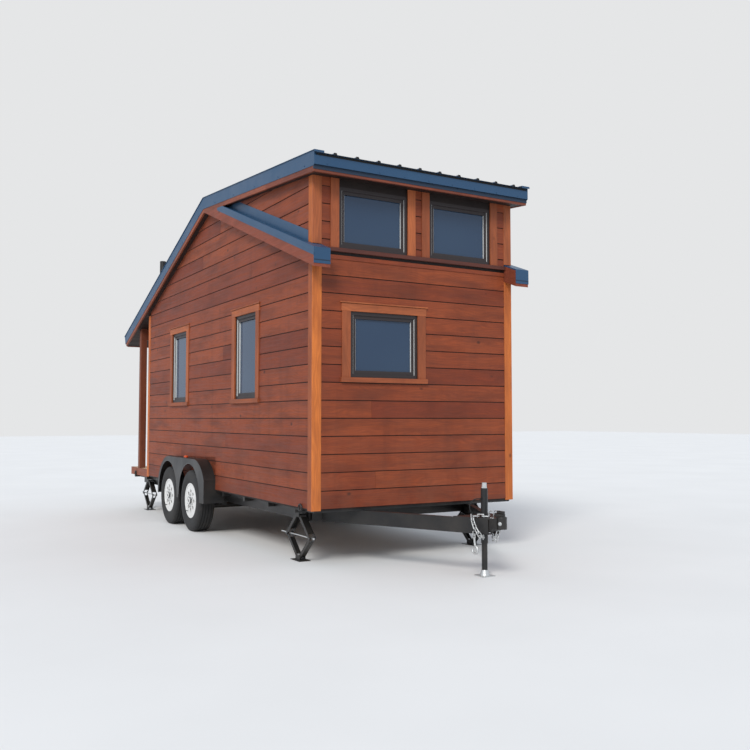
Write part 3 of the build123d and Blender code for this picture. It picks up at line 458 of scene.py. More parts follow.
@dataclass(frozen=True)
class Metal(Finish):
    """Painted, coated or plated metal."""
    colour: Colour = srgb(34, 34, 36)
    worn: Colour = srgb(70, 66, 62)
    gloss: float = 0.4
    wear: float = 0.2
    metallic: float = 0.0
    dust: float = 0.3
    coat: float = 0.0

    def dress(self, graph: Graph, shader: bpy.types.Node) -> None:
        """A coat with soft clouds, small worn specks and road dust low down.

        Args:
            graph: the material's graph.
            shader: its main shader node.
        """
        place = graph.node("ShaderNodeTexCoord").outputs["Object"]
        values = {"Vector": place, "Color": self.colour, "Worn": self.worn, "Wear": self.wear,
                  "Gloss": self.gloss}
        coated = graph.group("Coated Metal", values)
        weather = graph.group("Weathering", {"Vector": place, "Amount": self.dust})
        colour = graph.mix(weather.outputs["Dust"], coated.outputs["Color"], srgb(128, 116, 102))
        graph.feed(shader.inputs["Base Color"], colour)
        graph.feed(shader.inputs["Roughness"], coated.outputs["Roughness"])
        shader.inputs["Metallic"].default_value = self.metallic
        shader.inputs["Coat Weight"].default_value = self.coat
        self.bump(graph, shader, coated.outputs["Height"], 0.15, 0.0004)


@dataclass(frozen=True)
class Rubber(Finish):
    """Tyre and cable rubber."""
    colour: Colour = srgb(30, 30, 31)
    dust: float = 0.5

    def dress(self, graph: Graph, shader: bpy.types.Node) -> None:
        """Fine grain, with pale dust in patches.

        Args:
            graph: the material's graph.
            shader: its main shader node.
        """
        place = graph.node("ShaderNodeTexCoord").outputs["Object"]
        grain = graph.noise(place, 260.0, 3.0, 0.6)
        patch = graph.noise(place, 9.0, 5.0, 0.7)
        mask = graph.spread(patch, 0.45, 0.8, (0.0, self.dust))
        graph.feed(shader.inputs["Base Color"], graph.mix(mask, self.colour, srgb(92, 86, 78)))
        graph.feed(shader.inputs["Roughness"], graph.spread(patch, 0.3, 0.7, (0.62, 0.85)))
        self.bump(graph, shader, grain, 0.35, 0.0006)


@dataclass(frozen=True)
class Glass(Finish):
    """One pane of sealed glazing."""
    colour: Colour = srgb(52, 73, 98)
    alpha: float = 0.8

    def dress(self, graph: Graph, shader: bpy.types.Node) -> None:
        """Glass whose blue colour, in soft clouds, paints the sky's reflection, with faint smears.

        Args:
            graph: the material's graph.
            shader: its main shader node.
        """
        place = graph.node("ShaderNodeTexCoord").outputs["Object"]
        sky = graph.noise(graph.stretch(place, (0.7, 0.7, 1.1)), 1.0, 2.0, 0.5)
        smear = graph.noise(graph.stretch(place, (4.0, 4.0, 1.2)), 1.0, 5.0, 0.7)
        # Painted reflection: soft clouds of another blue stand for the sky mirrored in the pane.
        colour = graph.mix(graph.spread(sky, 0.35, 0.65, (0.0, 0.5)), self.colour, srgb(50, 71, 93))
        graph.feed(shader.inputs["Base Color"], colour)
        graph.feed(shader.inputs["Roughness"], graph.spread(smear, 0.4, 0.75, (0.03, 0.06)))
        shader.inputs["Alpha"].default_value = self.alpha
        shader.inputs["IOR"].default_value = 1.5


@dataclass(frozen=True)
class Lens(Finish):
    """A moulded marker lens."""
    colour: Colour = srgb(176, 48, 20)

    def dress(self, graph: Graph, shader: bpy.types.Node) -> None:
        """Clear coloured plastic with fine moulded ribs.

        Args:
            graph: the material's graph.
            shader: its main shader node.
        """
        place = graph.node("ShaderNodeTexCoord").outputs["Object"]
        axes = graph.node("ShaderNodeSeparateXYZ", {0: place}).outputs
        ribs = graph.math("SINE", graph.math("MULTIPLY", axes[1], 2400.0))
        glow = graph.noise(place, 40.0, 2.0, 0.5)
        graph.feed(shader.inputs["Base Color"], graph.mix(glow, self.colour, srgb(214, 92, 34)))
        graph.feed(shader.inputs["Roughness"], graph.spread(glow, 0.3, 0.7, (0.1, 0.22)))
        self.bump(graph, shader, ribs, 0.3, 0.0006)


SIDING = Wood("siding_cedar", srgb(148, 70, 34), srgb(119, 49, 24), srgb(80, 33, 18), knots=0.66)
TRIM = Wood("trim_cedar", srgb(212, 120, 52), srgb(182, 94, 42), srgb(128, 62, 30), knots=0.72, stain=0.25)
CASING_WOOD = Wood("casing_cedar", srgb(182, 100, 56), srgb(150, 78, 44), srgb(100, 50, 30), knots=0.62)
FASCIA = Wood("fascia_cedar", srgb(150, 80, 52), srgb(118, 58, 40), srgb(78, 38, 28), knots=0.6)
SILL_WOOD = Wood("sill_cedar", srgb(108, 56, 42), srgb(84, 42, 33), srgb(58, 29, 24), knots=0.6)
# Soffit boards in one very dark colour that paints both their dark stain and the deep shade under the eaves.
SOFFIT = Wood("soffit_boards", srgb(52, 28, 22), srgb(38, 20, 16), srgb(24, 13, 11), Lie.ALONG_X, board=0.14)
PENT_WOOD = Wood("side_roof_boards", srgb(168, 88, 58), srgb(136, 66, 44), srgb(90, 44, 30), Lie.ALONG_Y)
# Near-black wall backing: where it shows in the gaps between siding boards and beside the trim, its dark
# colour paints the shadow there.
BACKING_SHADE = Wood("wall_backing_painted_shade", srgb(34, 18, 14), srgb(26, 14, 11), srgb(18, 10, 8), Lie.ALONG_Y)
# Porch posts: cedar darkened as painted shade.
SHADED_POST = Wood("post_cedar_painted_shade", srgb(140, 74, 44), srgb(108, 53, 31), srgb(76, 36, 23), knots=0.7)
DECK = Wood("deck_boards", srgb(180, 126, 84), srgb(150, 100, 64), srgb(106, 68, 46), stain=0.5)
FLOOR = Wood("floor_boards", srgb(190, 150, 104), srgb(166, 124, 82), srgb(124, 88, 58), Lie.ALONG_Y,
             board=0.12)
DOOR = Wood("door_wood", srgb(170, 96, 56), srgb(140, 72, 44), srgb(94, 48, 32), Lie.ALONG_Z, board=0.11)
JAMB = Wood("jamb_wood", srgb(170, 98, 58), srgb(144, 78, 46), srgb(98, 52, 34), Lie.ALONG_Z)
BLUE = Metal("blue_roof_steel", srgb(24, 64, 97), srgb(46, 88, 118), 0.42, 0.08, 0.0, 0.06, 0.08)
# Darker copy of the roof steel, painted shade: the front trim's lower strip, set back under the face above
# it, and the shadow line under the hem of each side-roof box.
SHADE_BLUE = Metal("blue_steel_painted_shade", srgb(15, 39, 61), srgb(26, 52, 74), 0.5, 0.08, 0.0, 0.0)
BLACK = Metal("black_enamel", srgb(16, 16, 17), srgb(42, 40, 38), 0.42, 0.16, 0.0, 0.1, 0.05)
# Light grey on the fenders' rolled edges: a painted highlight along the black lip.
ROLLED_EDGE_HIGHLIGHT = Metal("rolled_edge_painted_highlight", srgb(84, 84, 86), srgb(60, 60, 60), 0.22, 0.1, 0.3, 0.0, 0.4)
BRONZE = Metal("bronze_window_metal", srgb(37, 28, 28), srgb(62, 50, 47), 0.45, 0.08, 0.0, 0.05)
# Pale metal: the real spacer between panes, and thin strips up the side reveals that paint the sky's
# reflection on them.
SPACER_AND_SHEEN = Metal("pale_spacer_and_painted_sheen", srgb(206, 208, 206), srgb(150, 150, 148), 0.4, 0.1, 0.0, 0.0)
ZINC = Metal("zinc_plate", srgb(198, 200, 200), srgb(136, 136, 132), 0.34, 0.4, 0.6, 0.1)
WHITE = Metal("white_rim_enamel", srgb(222, 222, 220), srgb(178, 176, 170), 0.3, 0.2, 0.0, 0.12, 0.3)
GREY_CAP = Metal("grey_hub_cap", srgb(96, 98, 100), srgb(60, 60, 60), 0.4, 0.3, 0.5, 0.2)
# Black rubber for the vent boot and valve stems; on the eave it also paints shade: the closure strip stands
# for the shadow under the sheets' overhang, and thin plates paint the dark inside the rib ends and under the
# sheets' edge.
SEAL_AND_SHADE = Rubber("black_rubber_and_painted_shade", srgb(14, 14, 15), 0.05)
TYRE = Rubber("tyre_rubber", srgb(29, 29, 30), 0.3)
JACKET = Rubber("cable_jacket", srgb(17, 17, 18), 0.1)
# Blue-grey glass colours that paint the sky's reflection in the panes.
OUTER_GLASS = Glass("outer_glass", srgb(40, 60, 84), 0.97)
INNER_GLASS = Glass("inner_glass", srgb(38, 56, 80), 0.95)
MARKER = Lens("marker_lens")


# Mesh building

def show(mesh: bpy.types.Mesh | bpy.types.Curve, name: str, finish: Finish,
         body: str = HOUSE) -> bpy.types.Object:
    """Puts a mesh or curve in the scene, with its finish, on its body.

    Args:
        mesh: the piece's mesh or curve.
        name: the piece's name.
        finish: its material.
        body: the body that it rides on.

    Returns:
        The piece.
    """
    made = bpy.data.objects.new(name, mesh)
    mesh.materials.append(finish.material())
    bpy.context.scene.collection.objects.link(made)
    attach(made, body)
    return made


def chamfer(piece: bpy.types.Object, width: float, segments: int = 1) -> None:
    """Softens a piece's sharp edges.

    Args:
        piece: the piece.
        width: how wide the softened edge is, in metres.
        segments: its steps.
    """
    modifier = piece.modifiers.new("edges", "BEVEL")
    modifier.width = width
    modifier.segments = segments
    modifier.limit_method = "ANGLE"
    modifier.angle_limit = math.radians(32)


@dataclass
class Joinery:
    """Convex solids gathered into one piece, each with its grain direction and its own tone."""
    name: str
    finish: Finish
    body: str = HOUSE
    seed: int = 1
    vertices: list[Vector] = field(default_factory=list)
    faces: list[list[int]] = field(default_factory=list)
    grains: list[tuple[Vector, float, Vector]] = field(default_factory=list)

    def __post_init__(self) -> None:
        """Starts the tones from the piece's own seed."""
        self.random = random.Random(self.seed)

    def solid(self, rings: list[list[Vector]], along: Vector, tone: float | None = None) -> None:
        """Adds a closed convex solid from rings of equal length, capped at both ends.

        Args:
            rings: corners of each ring, in order.
            along: the way of the grain.
            tone: its tone, or None for one by chance.
        """
        start = len(self.vertices)
        count = len(rings[0])
        for ring in rings:
            self.vertices += ring
        made = [list(range(start, start + count)), list(range(start + count * (len(rings) - 1),
                                                              start + count * len(rings)))]
        for level in range(len(rings) - 1):
            low = start + level * count
            for i in range(count):
                j = (i + 1) % count
                made.append([low + i, low + j, low + count + j, low + count + i])
        middle = sum((v for ring in rings for v in ring), Vector()) / (count * len(rings))
        shade = self.random.random() if tone is None else tone
        shift = Vector((self.random.uniform(0, 30), self.random.uniform(0, 30)))
        for face in made:
            points = [self.vertices[i] for i in face]
            centre = sum(points, Vector()) / len(points)
            normal = (points[1] - points[0]).cross(points[2] - points[1])
            self.faces.append(face if normal.dot(centre - middle) > 0 else face[::-1])
            self.grains.append((along, shade, shift))

    def prism(self, outline: list[Vector], depth: Vector, along: Vector, tone: float | None = None) -> None:
        """Adds an outline in space, pushed out by depth."""
        self.solid([outline, [v + depth for v in outline]], along, tone)

    def box(self, low: tuple, high: tuple, along: Vector, tone: float | None = None) -> None:
        """Adds a plain board between two corners.

        Args:
            low: its lowest corner.
            high: its highest corner.
            along: the way of the grain.
            tone: its tone, or None for one by chance.
        """
        (x0, y0, z0), (x1, y1, z1) = low, high
        ring = [Vector((x0, y0, z0)), Vector((x1, y0, z0)), Vector((x1, y1, z0)), Vector((x0, y1, z0))]
        self.prism(ring, Vector((0, 0, z1 - z0)), along, tone)

    def build(self, bevel: float = 0.0016) -> bpy.types.Object:
        """Makes the piece, its grain map and its tones.

        Args:
            bevel: width of its softened edges, 0 for none.

        Returns:
            The piece.
        """
        mesh = bpy.data.meshes.new(self.name)
        mesh.from_pydata([v[:] for v in self.vertices], [], self.faces)
        layer = mesh.uv_layers.new(name="grain")
        tones = mesh.attributes.new("tone", "FLOAT", "FACE")
        for polygon, (along, shade, shift) in zip(mesh.polygons, self.grains):
            tones.data[polygon.index].value = shade
            side = polygon.normal.cross(along)
            if side.length < 0.3:
                run, side = along.orthogonal().normalized(), None
            else:
                run, side = along.normalized(), side.normalized()
            side = polygon.normal.cross(run).normalized() if side is None else side
            for loop in polygon.loop_indices:
                point = mesh.vertices[mesh.loops[loop].vertex_index].co
                layer.data[loop].uv = (point.dot(run) + shift.x, point.dot(side) + shift.y)
        mesh.update()
        made = show(mesh, self.name, self.finish, self.body)
        if bevel:
            chamfer(made, bevel)
        return made


def lathe(name: str, profile: Outline, origin: Vector, axis: Vector, finish: Finish, body: str = HOUSE,
          segments: int = 32, closed: bool = False) -> bpy.types.Object:
    """Turns a profile of (radius, height) points about an axis.

    Args:
        name: the piece's name.
        profile: radius and height along the axis, in metres.
        origin: where height 0 lies.
        axis: direction of the heights.
        finish: its material.
        body: the body that it rides on.
        segments: steps round the axis.
        closed: whether the profile's last point joins its first.

    Returns:
        The piece.
    """
    axis = axis.normalized()
    side = axis.orthogonal().normalized()
    other = axis.cross(side)
    vertices = [origin + axis * h + (side * math.cos(a) + other * math.sin(a)) * r
                for a in (2 * math.pi * i / segments for i in range(segments)) for r, h in profile]
    count = len(profile)
    spans = count if closed else count - 1
    faces = [[i * count + j, i * count + (j + 1) % count, (i + 1) % segments * count + (j + 1) % count,
              (i + 1) % segments * count + j] for i in range(segments) for j in range(spans)]
    mesh = bpy.data.meshes.new(name)
    mesh.from_pydata([v[:] for v in vertices], [], faces)
    mesh.validate()
    mesh.polygons.foreach_set("use_smooth", [True] * len(mesh.polygons))
    mesh.set_sharp_from_angle(angle=math.radians(38))
    return show(mesh, name, finish, body)


def rod(name: str, runs: list[list[Vector]], radius: float, finish: Finish, body: str = HOUSE,
        loop: bool = False) -> bpy.types.Object:
    """Round wire or bar along smooth runs of points.

    Args:
        name: the piece's name.
        runs: control points of each run, in metres.
        radius: the bar's radius.
        finish: its material.
        body: the body that it rides on.
        loop: whether each run closes on itself.

    Returns:
        The piece.
    """
    curve = bpy.data.curves.new(name, "CURVE")
    curve.dimensions = "3D"
    curve.bevel_depth = radius / POINT_RADIUS
    curve.bevel_resolution = 3
    curve.use_fill_caps = True
    for points in runs:
        spline = curve.splines.new("NURBS")
        spline.points.add(len(points) - 1)
        for target, point in zip(spline.points, points):
            target.co = (*point, 1)
            target.radius = POINT_RADIUS
        spline.order_u = 3
        spline.use_endpoint_u = not loop
        spline.use_cyclic_u = loop
    return show(curve, name, finish, body)


def hexes(name: str, places: list[tuple[Vector, Vector]], radius: float, high: float, finish: Finish,
          body: str = HOUSE, washer: float = 0.0) -> bpy.types.Object:
    """Hexagon heads, with washers where asked.

    Args:
        name: the piece's name.
        places: foot and axis of each head.
        radius: from a head's middle to its corners.
        high: a head's height.
        finish: their material.
        body: the body that they ride on.
        washer: a washer's radius, or 0 for none.

    Returns:
        The piece.
    """
    made = Joinery(name, finish, body)
    for origin, axis in places:
        axis = axis.normalized()
        side = axis.orthogonal().normalized()
        other = axis.cross(side)

        def ring(size: float, up: float, count: int) -> list[Vector]:
            """Corners of a ring of that size, that far up the axis."""
            turns = [2 * math.pi * i / count for i in range(count)]
            return [origin + axis * up + (side * math.cos(a) + other * math.sin(a)) * size for a in turns]

        if washer:
            made.solid([ring(washer, 0, 12), ring(washer, WASHER_THICK, 12)], axis, 0.5)
        crown = 0.8
        rings = [ring(radius, 0.001, 6), ring(radius, high * crown, 6), ring(radius * crown, high, 6)]
        made.solid(rings, axis, 0.5)
    return made.build(0.0)


# Walls

@dataclass(frozen=True)
class WallFace:
    """One outside face of the walls: a point on its skin, the way along it and the way out."""
    name: str
    origin: Vector
    along: Vector
    out: Vector

    def at(self, place: float, up: float, out: float = 0.0) -> Vector:
        """The point at that place along the wall and that height, that far off its skin."""
        return self.origin + self.along * place + Z * up + self.out * out


LEFT = WallFace("left", Vector((-SKIN, 0, 0)), Y, -X)
RIGHT = WallFace("right", Vector((SKIN, 0, 0)), Y, X)
FACE = WallFace("front", Vector((0, FRONT + PROUD, 0)), X, -Y)
BACK = WallFace("rear", Vector((0, REAR - PROUD, 0)), X, Y)


@dataclass(frozen=True)
class Opening:
    """A window or the door, in its wall's own place and height."""
    wall: WallFace
    low: float
    high: float
    foot: float
    head: float

    @property
    def clerestory(self) -> bool:
        """Whether this is one of the high windows under the front eave."""
        return self.wall is FACE and self.foot > HIGH_SILL


def find_openings() -> list[Opening]:
    """The windows and the door, measured on the frame.

    Returns:
        One opening for each, the door last.
    """
    found = []
    deepest = 0.2
    for low, high in islands("window_frames"):
        if high.x - low.x < deepest:
            found.append(Opening(LEFT if low.x < 0 else RIGHT, low.y, high.y, low.z, high.z))
        else:
            found.append(Opening(FACE, low.x, high.x, low.z, high.z))
    low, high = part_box("door_frame")
    found.append(Opening(BACK, low[0], high[0], low[2], high[2]))
    return found


def clip(shape: Outline, a: tuple[float, float], b: tuple[float, float], inside: bool) -> Outline:
    """Cuts a convex outline along the line from a to b.

    Args:
        shape: the outline's corners.
        a: the line's first point.
        b: its second point.
        inside: True keeps what lies left of the line, False what lies right of it.

    Returns:
        The part that is kept, empty where nothing is.
    """
    sign = 1 if inside else -1

    def side(point: tuple[float, float]) -> float:
        """More than 0 where a point lies on the side that is kept."""
        return sign * ((b[0] - a[0]) * (point[1] - a[1]) - (b[1] - a[1]) * (point[0] - a[0]))

    kept: Outline = []
    for i, point in enumerate(shape):
        before = shape[i - 1]
        s0, s1 = side(before), side(point)
        if (s0 < 0) != (s1 < 0):
            t = s0 / (s0 - s1)
            kept.append((before[0] + t * (point[0] - before[0]), before[1] + t * (point[1] - before[1])))
        if s1 >= 0:
            kept.append(point)
    return kept


def wide_enough(shape: Outline) -> bool:
    """Whether an outline is more than a sliver.

    Args:
        shape: the outline's corners.

    Returns:
        False where it is a millimetre thin or less.
    """
    if len(shape) < 3:
        return False
    spans = [max(c) - min(c) for c in zip(*shape)]
    return min(spans) > 0.001


def keep_inside(shape: Outline, limit: Outline) -> Outline:
    """The part of a convex outline inside another, both anticlockwise.

    Args:
        shape: the outline that is cut.
        limit: the outline that it stays inside.

    Returns:
        What is left of it, empty where nothing is.
    """
    for i, corner in enumerate(limit):
        if len(shape) < 3:
            return []
        shape = clip(shape, limit[i - 1], corner, True)
    return shape


def carve(shapes: list[Outline], hole: Outline) -> list[Outline]:
    """Cuts a convex hole out of convex outlines.

    Args:
        shapes: the outlines.
        hole: the hole's corners, anticlockwise.

    Returns:
        Convex outlines that fill the rest.
    """
    left = []
    for shape in shapes:
        rest = shape
        for i, corner in enumerate(hole):
            outside = clip(rest, hole[i - 1], corner, False)
            if wide_enough(outside):
                left.append(outside)
            rest = clip(rest, hole[i - 1], corner, True)
            if not wide_enough(rest):
                break
    return left


def rectangle(x0: float, x1: float, z0: float, z1: float) -> Outline:
    """An anticlockwise rectangle."""
    return [(x0, z0), (x1, z0), (x1, z1), (x0, z1)]


def fender_outline() -> Outline:
    """The fender's edge on the side walls: the hull of its own points, anticlockwise.

    Returns:
        The hull's corners, each with its place along the wall and its height.
    """
    points = [(v.co.y, v.co.z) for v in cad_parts["fenders"].data.vertices]
    hull = [points[i] for i in convex_hull_2d(points)]
    area = sum(a[0] * b[1] - b[0] * a[1] for a, b in zip(hull, hull[1:] + hull[:1]))
    return hull if area > 0 else hull[::-1]


@dataclass
class Siding:
    """Lapped boards over all four walls."""
    openings: list[Opening]
    pitch: float = 0.165
    datum: float = 1.348
    # The gap shows the near-black wall backing, a painted shadow line under each board.
    gap: float = 0.008
    foot_proud: float = 0.0105
    head_proud: float = 0.006
    round_off: float = 0.002
    end_gap: float = 0.0008
    least: float = 0.03
    threshold: float = 0.2
    beyond: float = 5.0
    margin: float = 0.5
    undercut: float = 0.8
    rows: tuple = (-6, 16)
    front_joints: dict = field(default_factory=lambda: {4: -0.535, 9: -0.525, 0: -0.53, -4: -0.49})
    side_joints: tuple = (1.6, 2.4, 3.0, 3.7)
    stray: float = 0.2
    jointed: float = 0.6

    def holes(self, wall: WallFace) -> list[Outline]:
        """What the boards stop at: casings, sills, caps, side roofs and fenders.

        Args:
            wall: the wall.

        Returns:
            Convex outlines, anticlockwise.
        """
        found = []
        for o in [o for o in self.openings if o.wall is wall]:
            if o.clerestory:
                found.append(rectangle(o.low - CASING, o.high + CASING, o.foot, self.beyond))
                found.append(rectangle(-HALF, HALF, o.foot - SILL - APRON, o.foot))
                continue
            threshold = self.threshold if wall is BACK else 0.0
            found.append(rectangle(o.low - CASING, o.high + CASING, o.foot - threshold, o.head + CASING))
            if wall is not BACK:
                over = CASING + CAP
                found.append(rectangle(o.low - over, o.high + over, o.foot - SILL, o.foot))
                over = CASING + 1.5 * CAP
                found.append(rectangle(o.low - over, o.high + over, o.head + CASING - CAP, o.head + CASING))
        if wall in (LEFT, RIGHT):
            start = FRONT - self.margin
            found.append([(start, pent_line(start) - PENT_DEEP), (RIDGE_Y, RIDGE_Z - PENT_DEEP),
                          (RIDGE_Y, RIDGE_Z), (start, pent_line(start))])
            found.append(fender_outline())
        return found

    def limit(self, wall: WallFace) -> Outline:
        """The wall's own outline inside its corner boards.

        Args:
            wall: the wall.

        Returns:
            The outline's corners, anticlockwise.
        """
        if wall in (LEFT, RIGHT):
            y0, y1 = FRONT + CASING, REAR - CASING
            return [(y0, WALL_FOOT), (y1, WALL_FOOT), (y1, top_line(y1) - WALL_HEAD),
                    (RIDGE_Y, RIDGE_Z - WALL_HEAD), (y0, top_line(y0) - WALL_HEAD)]
        reach = HALF - CORNER_WIDE
        line = FRONT + PROUD if wall is FACE else REAR - PROUD
        return rectangle(-reach, reach, WALL_FOOT, top_line(line) - WALL_HEAD)

    def joints(self, wall: WallFace, row: int, rng: random.Random) -> list[float]:
        """Where the boards of one row meet end to end.

        Args:
            wall: the wall.
            row: the row, counted from the datum.
            rng: the wall's own draws.

        Returns:
            Places along the wall, none where one board spans it.
        """
        if wall is FACE:
            return [self.front_joints[row]] if row in self.front_joints else []
        if wall is BACK:
            return []
        first = FRONT + rng.choice(self.side_joints) + rng.uniform(-self.stray, self.stray)
        return [first] if rng.random() < self.jointed else []

    def build(self) -> None:
        """Makes one piece for each wall, over the walls' own faces."""
        for seed, wall in enumerate((LEFT, RIGHT, FACE, BACK)):
            rng = random.Random(40 + seed)
            made = Joinery(f"siding_{wall.name}", SIDING, seed=90 + seed)
            limit = self.limit(wall)
            holes = self.holes(wall)
            low, high = min(p[0] for p in limit), max(p[0] for p in limit)
            for row in range(*self.rows):
                foot = max(self.datum + row * self.pitch, WALL_FOOT)
                head = self.datum + (row + 1) * self.pitch
                ends = [low] + self.joints(wall, row, rng) + [high]
                for a, b in zip(ends, ends[1:]):
                    span = (a + self.end_gap, b - self.end_gap, foot, head)
                    self.board(made, wall, span, limit, holes)
            made.build(0.0)

    def board(self, made: Joinery, wall: WallFace, span: tuple, limit: Outline,
              holes: list[Outline]) -> None:
        """One board of a row, cut round whatever it meets.

        Args:
            made: the piece that takes it.
            wall: the wall that it lies on.
            span: its two ends along the wall, then its foot and its head.
            limit: the outline that it stays inside.
            holes: the outlines that are cut out of it.
        """
        a, b, foot, head = span
        if head - foot < self.least:
            return
        lower = foot + self.gap
        crease = lower + self.round_off
        tone = made.random.random()
        state = made.random.getstate()
        for z0, z1 in ((lower, crease), (crease, head)):
            pieces = [keep_inside(rectangle(a, b, z0, z1), limit)]
            for hole in holes:
                pieces = carve([p for p in pieces if len(p) > 2], hole)
            for piece in pieces:
                if len(piece) < 3:
                    continue
                made.random.setstate(state)
                front = [wall.at(u, z, self.proud(z, lower, crease, head)) for u, z in piece]
                made.solid([[wall.at(u, z) for u, z in piece], front], wall.along, tone)
        made.random.setstate(state)
        made.random.random()

    def proud(self, z: float, lower: float, crease: float, head: float) -> float:
        """How far the board's face stands off the skin at that height.

        Args:
            z: the height.
            lower: height of the board's lower edge.
            crease: where its rounding ends.
            head: height of its upper edge.

        Returns:
            The distance in metres.
        """
        if z < crease:
            return self.foot_proud - (crease - z) * self.undercut
        share = (z - crease) / (head - crease)
        return self.foot_proud + (self.head_proud - self.foot_proud) * share


@dataclass
class WallTrim:
    """Corner boards, casings, sills and head caps."""
    openings: list[Opening]
    rear_head: float = 0.19
    cap_proud: float = 0.026
    band_high: float = 0.037
    shadow_foot: float = 0.066
    apron_proud: float = 0.014
    seam: float = 0.003

    def corners(self) -> None:
        """Corner boards in their L-shaped pairs, and the dormer's over the side roofs; the returns and the
        dormer's front boards take darker wood as painted shade.
        """
        made = Joinery("corner_timbers", TRIM, seed=11)
        # Painted shade: the side returns and the dormer's front boards take the darker casing wood, while the
        # front faces keep the lighter trim wood.
        sides = Joinery("corner_timbers_painted_shade", CASING_WOOD, seed=12)
        under = pent_line(FRONT) - PENT_DEEP
        rear_head = top_line(REAR) - self.rear_head
        for sign in (-1, 1):
            edge, skin, face = sign * HALF, sign * SKIN, sign * (HALF - CORNER_WIDE)
            tone = 0.95 if sign < 0 else 0.7
            made.box((edge, FRONT, WALL_FOOT), (face, FRONT + PROUD, under), Z, tone)
            sides.box((edge, FRONT + PROUD, WALL_FOOT), (skin, FRONT + CASING, under), Z, 0.35)
            foot = pent_line(FRONT + PROUD)
            sides.box((edge, FRONT, foot), (face, FRONT + PROUD, top_line(FRONT) - WALL_HEAD), Z, 0.75)
            y0, y1 = FRONT + PROUD, FRONT + CASING
            side = [(y0, pent_line(y0)), (y1, pent_line(y1)), (y1, top_line(y1) - WALL_HEAD),
                    (y0, top_line(y0) - WALL_HEAD)]
            made.prism([Vector((skin, y, z)) for y, z in side], X * (edge - skin), Z, 0.6)
            made.box((edge, REAR - CASING, WALL_FOOT), (skin, REAR, rear_head), Z)
            made.box((skin, REAR - PROUD, WALL_FOOT), (face, REAR, rear_head), Z)
        for piece in (made.build(), sides.build()):
            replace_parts(piece, "corner_boards")

    def plank(self, made: Joinery, wall: WallFace, span: tuple, out: float, along: Vector,
              tone: float | None = None) -> None:
        """A board flat on a wall.

        Args:
            made: the piece that takes it.
            wall: the wall that it lies on.
            span: its two ends along the wall, then its foot and its head.
            out: its thickness.
            along: the way of its grain.
            tone: its tone, or None for one by chance.
        """
        u0, u1, z0, z1 = span
        ring = [wall.at(u0, z0), wall.at(u1, z0), wall.at(u1, z1), wall.at(u0, z1)]
        made.prism(ring, wall.out * out, along, tone)

    def casings(self) -> None:
        """Side boards, heads, sills and caps round each opening."""
        made = Joinery("window_casings", CASING_WOOD, seed=21)
        for o in self.openings:
            wall = o.wall
            if o.clerestory:
                y = FRONT + PROUD - CASING_PROUD
                head = top_line(y) - WALL_HEAD
                for u0, u1 in ((o.low - CASING, o.low), (o.high, o.high + CASING)):
                    self.plank(made, wall, (u0, u1, o.foot, head), CASING_PROUD, Z)
                continue
            for u0, u1 in ((o.low - CASING, o.low), (o.high, o.high + CASING)):
                self.plank(made, wall, (u0, u1, o.foot, o.head), CASING_PROUD, Z)
            if wall is BACK:
                span = (o.low - CASING, o.high + CASING, o.head, o.head + CASING)
                self.plank(made, wall, span, CASING_PROUD, X)
                continue
            top = o.head + CASING - CAP
            over = CASING + CAP / 2
            span = (o.low - over, o.high + over, o.head, top - self.seam)
            self.plank(made, wall, span, CASING_PROUD, wall.along)
            over += CAP
            self.plank(made, wall, (o.low - over, o.high + over, top, top + CAP), self.cap_proud, wall.along)
            over = CASING + CAP
            span = (o.low - over, o.high + over, o.foot - SILL, o.foot)
            self.plank(made, wall, span, SILL_PROUD, wall.along, 0.05)
        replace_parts(made.build(), "casings")
        self.sill_band()

    def sill_band(self) -> None:
        """The long sill board under the high windows, and the apron below its shadow, which the near-black
        wall backing paints in the gap between them.
        """
        sill = min(o.foot for o in self.openings if o.clerestory)
        reach = HALF - CORNER_WIDE
        band = Joinery("clerestory_sill_board", SILL_WOOD, seed=23)
        apron = Joinery("clerestory_apron", SIDING, seed=24)
        self.plank(band, FACE, (-reach, reach, sill - self.band_high, sill), SILL_PROUD, X, 0.3)
        span = (-reach, reach, sill - SILL - APRON, sill - self.shadow_foot)
        self.plank(apron, FACE, span, self.apron_proud, X, 0.5)
        for piece in (band.build(), apron.build()):
            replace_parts(piece, "casings")


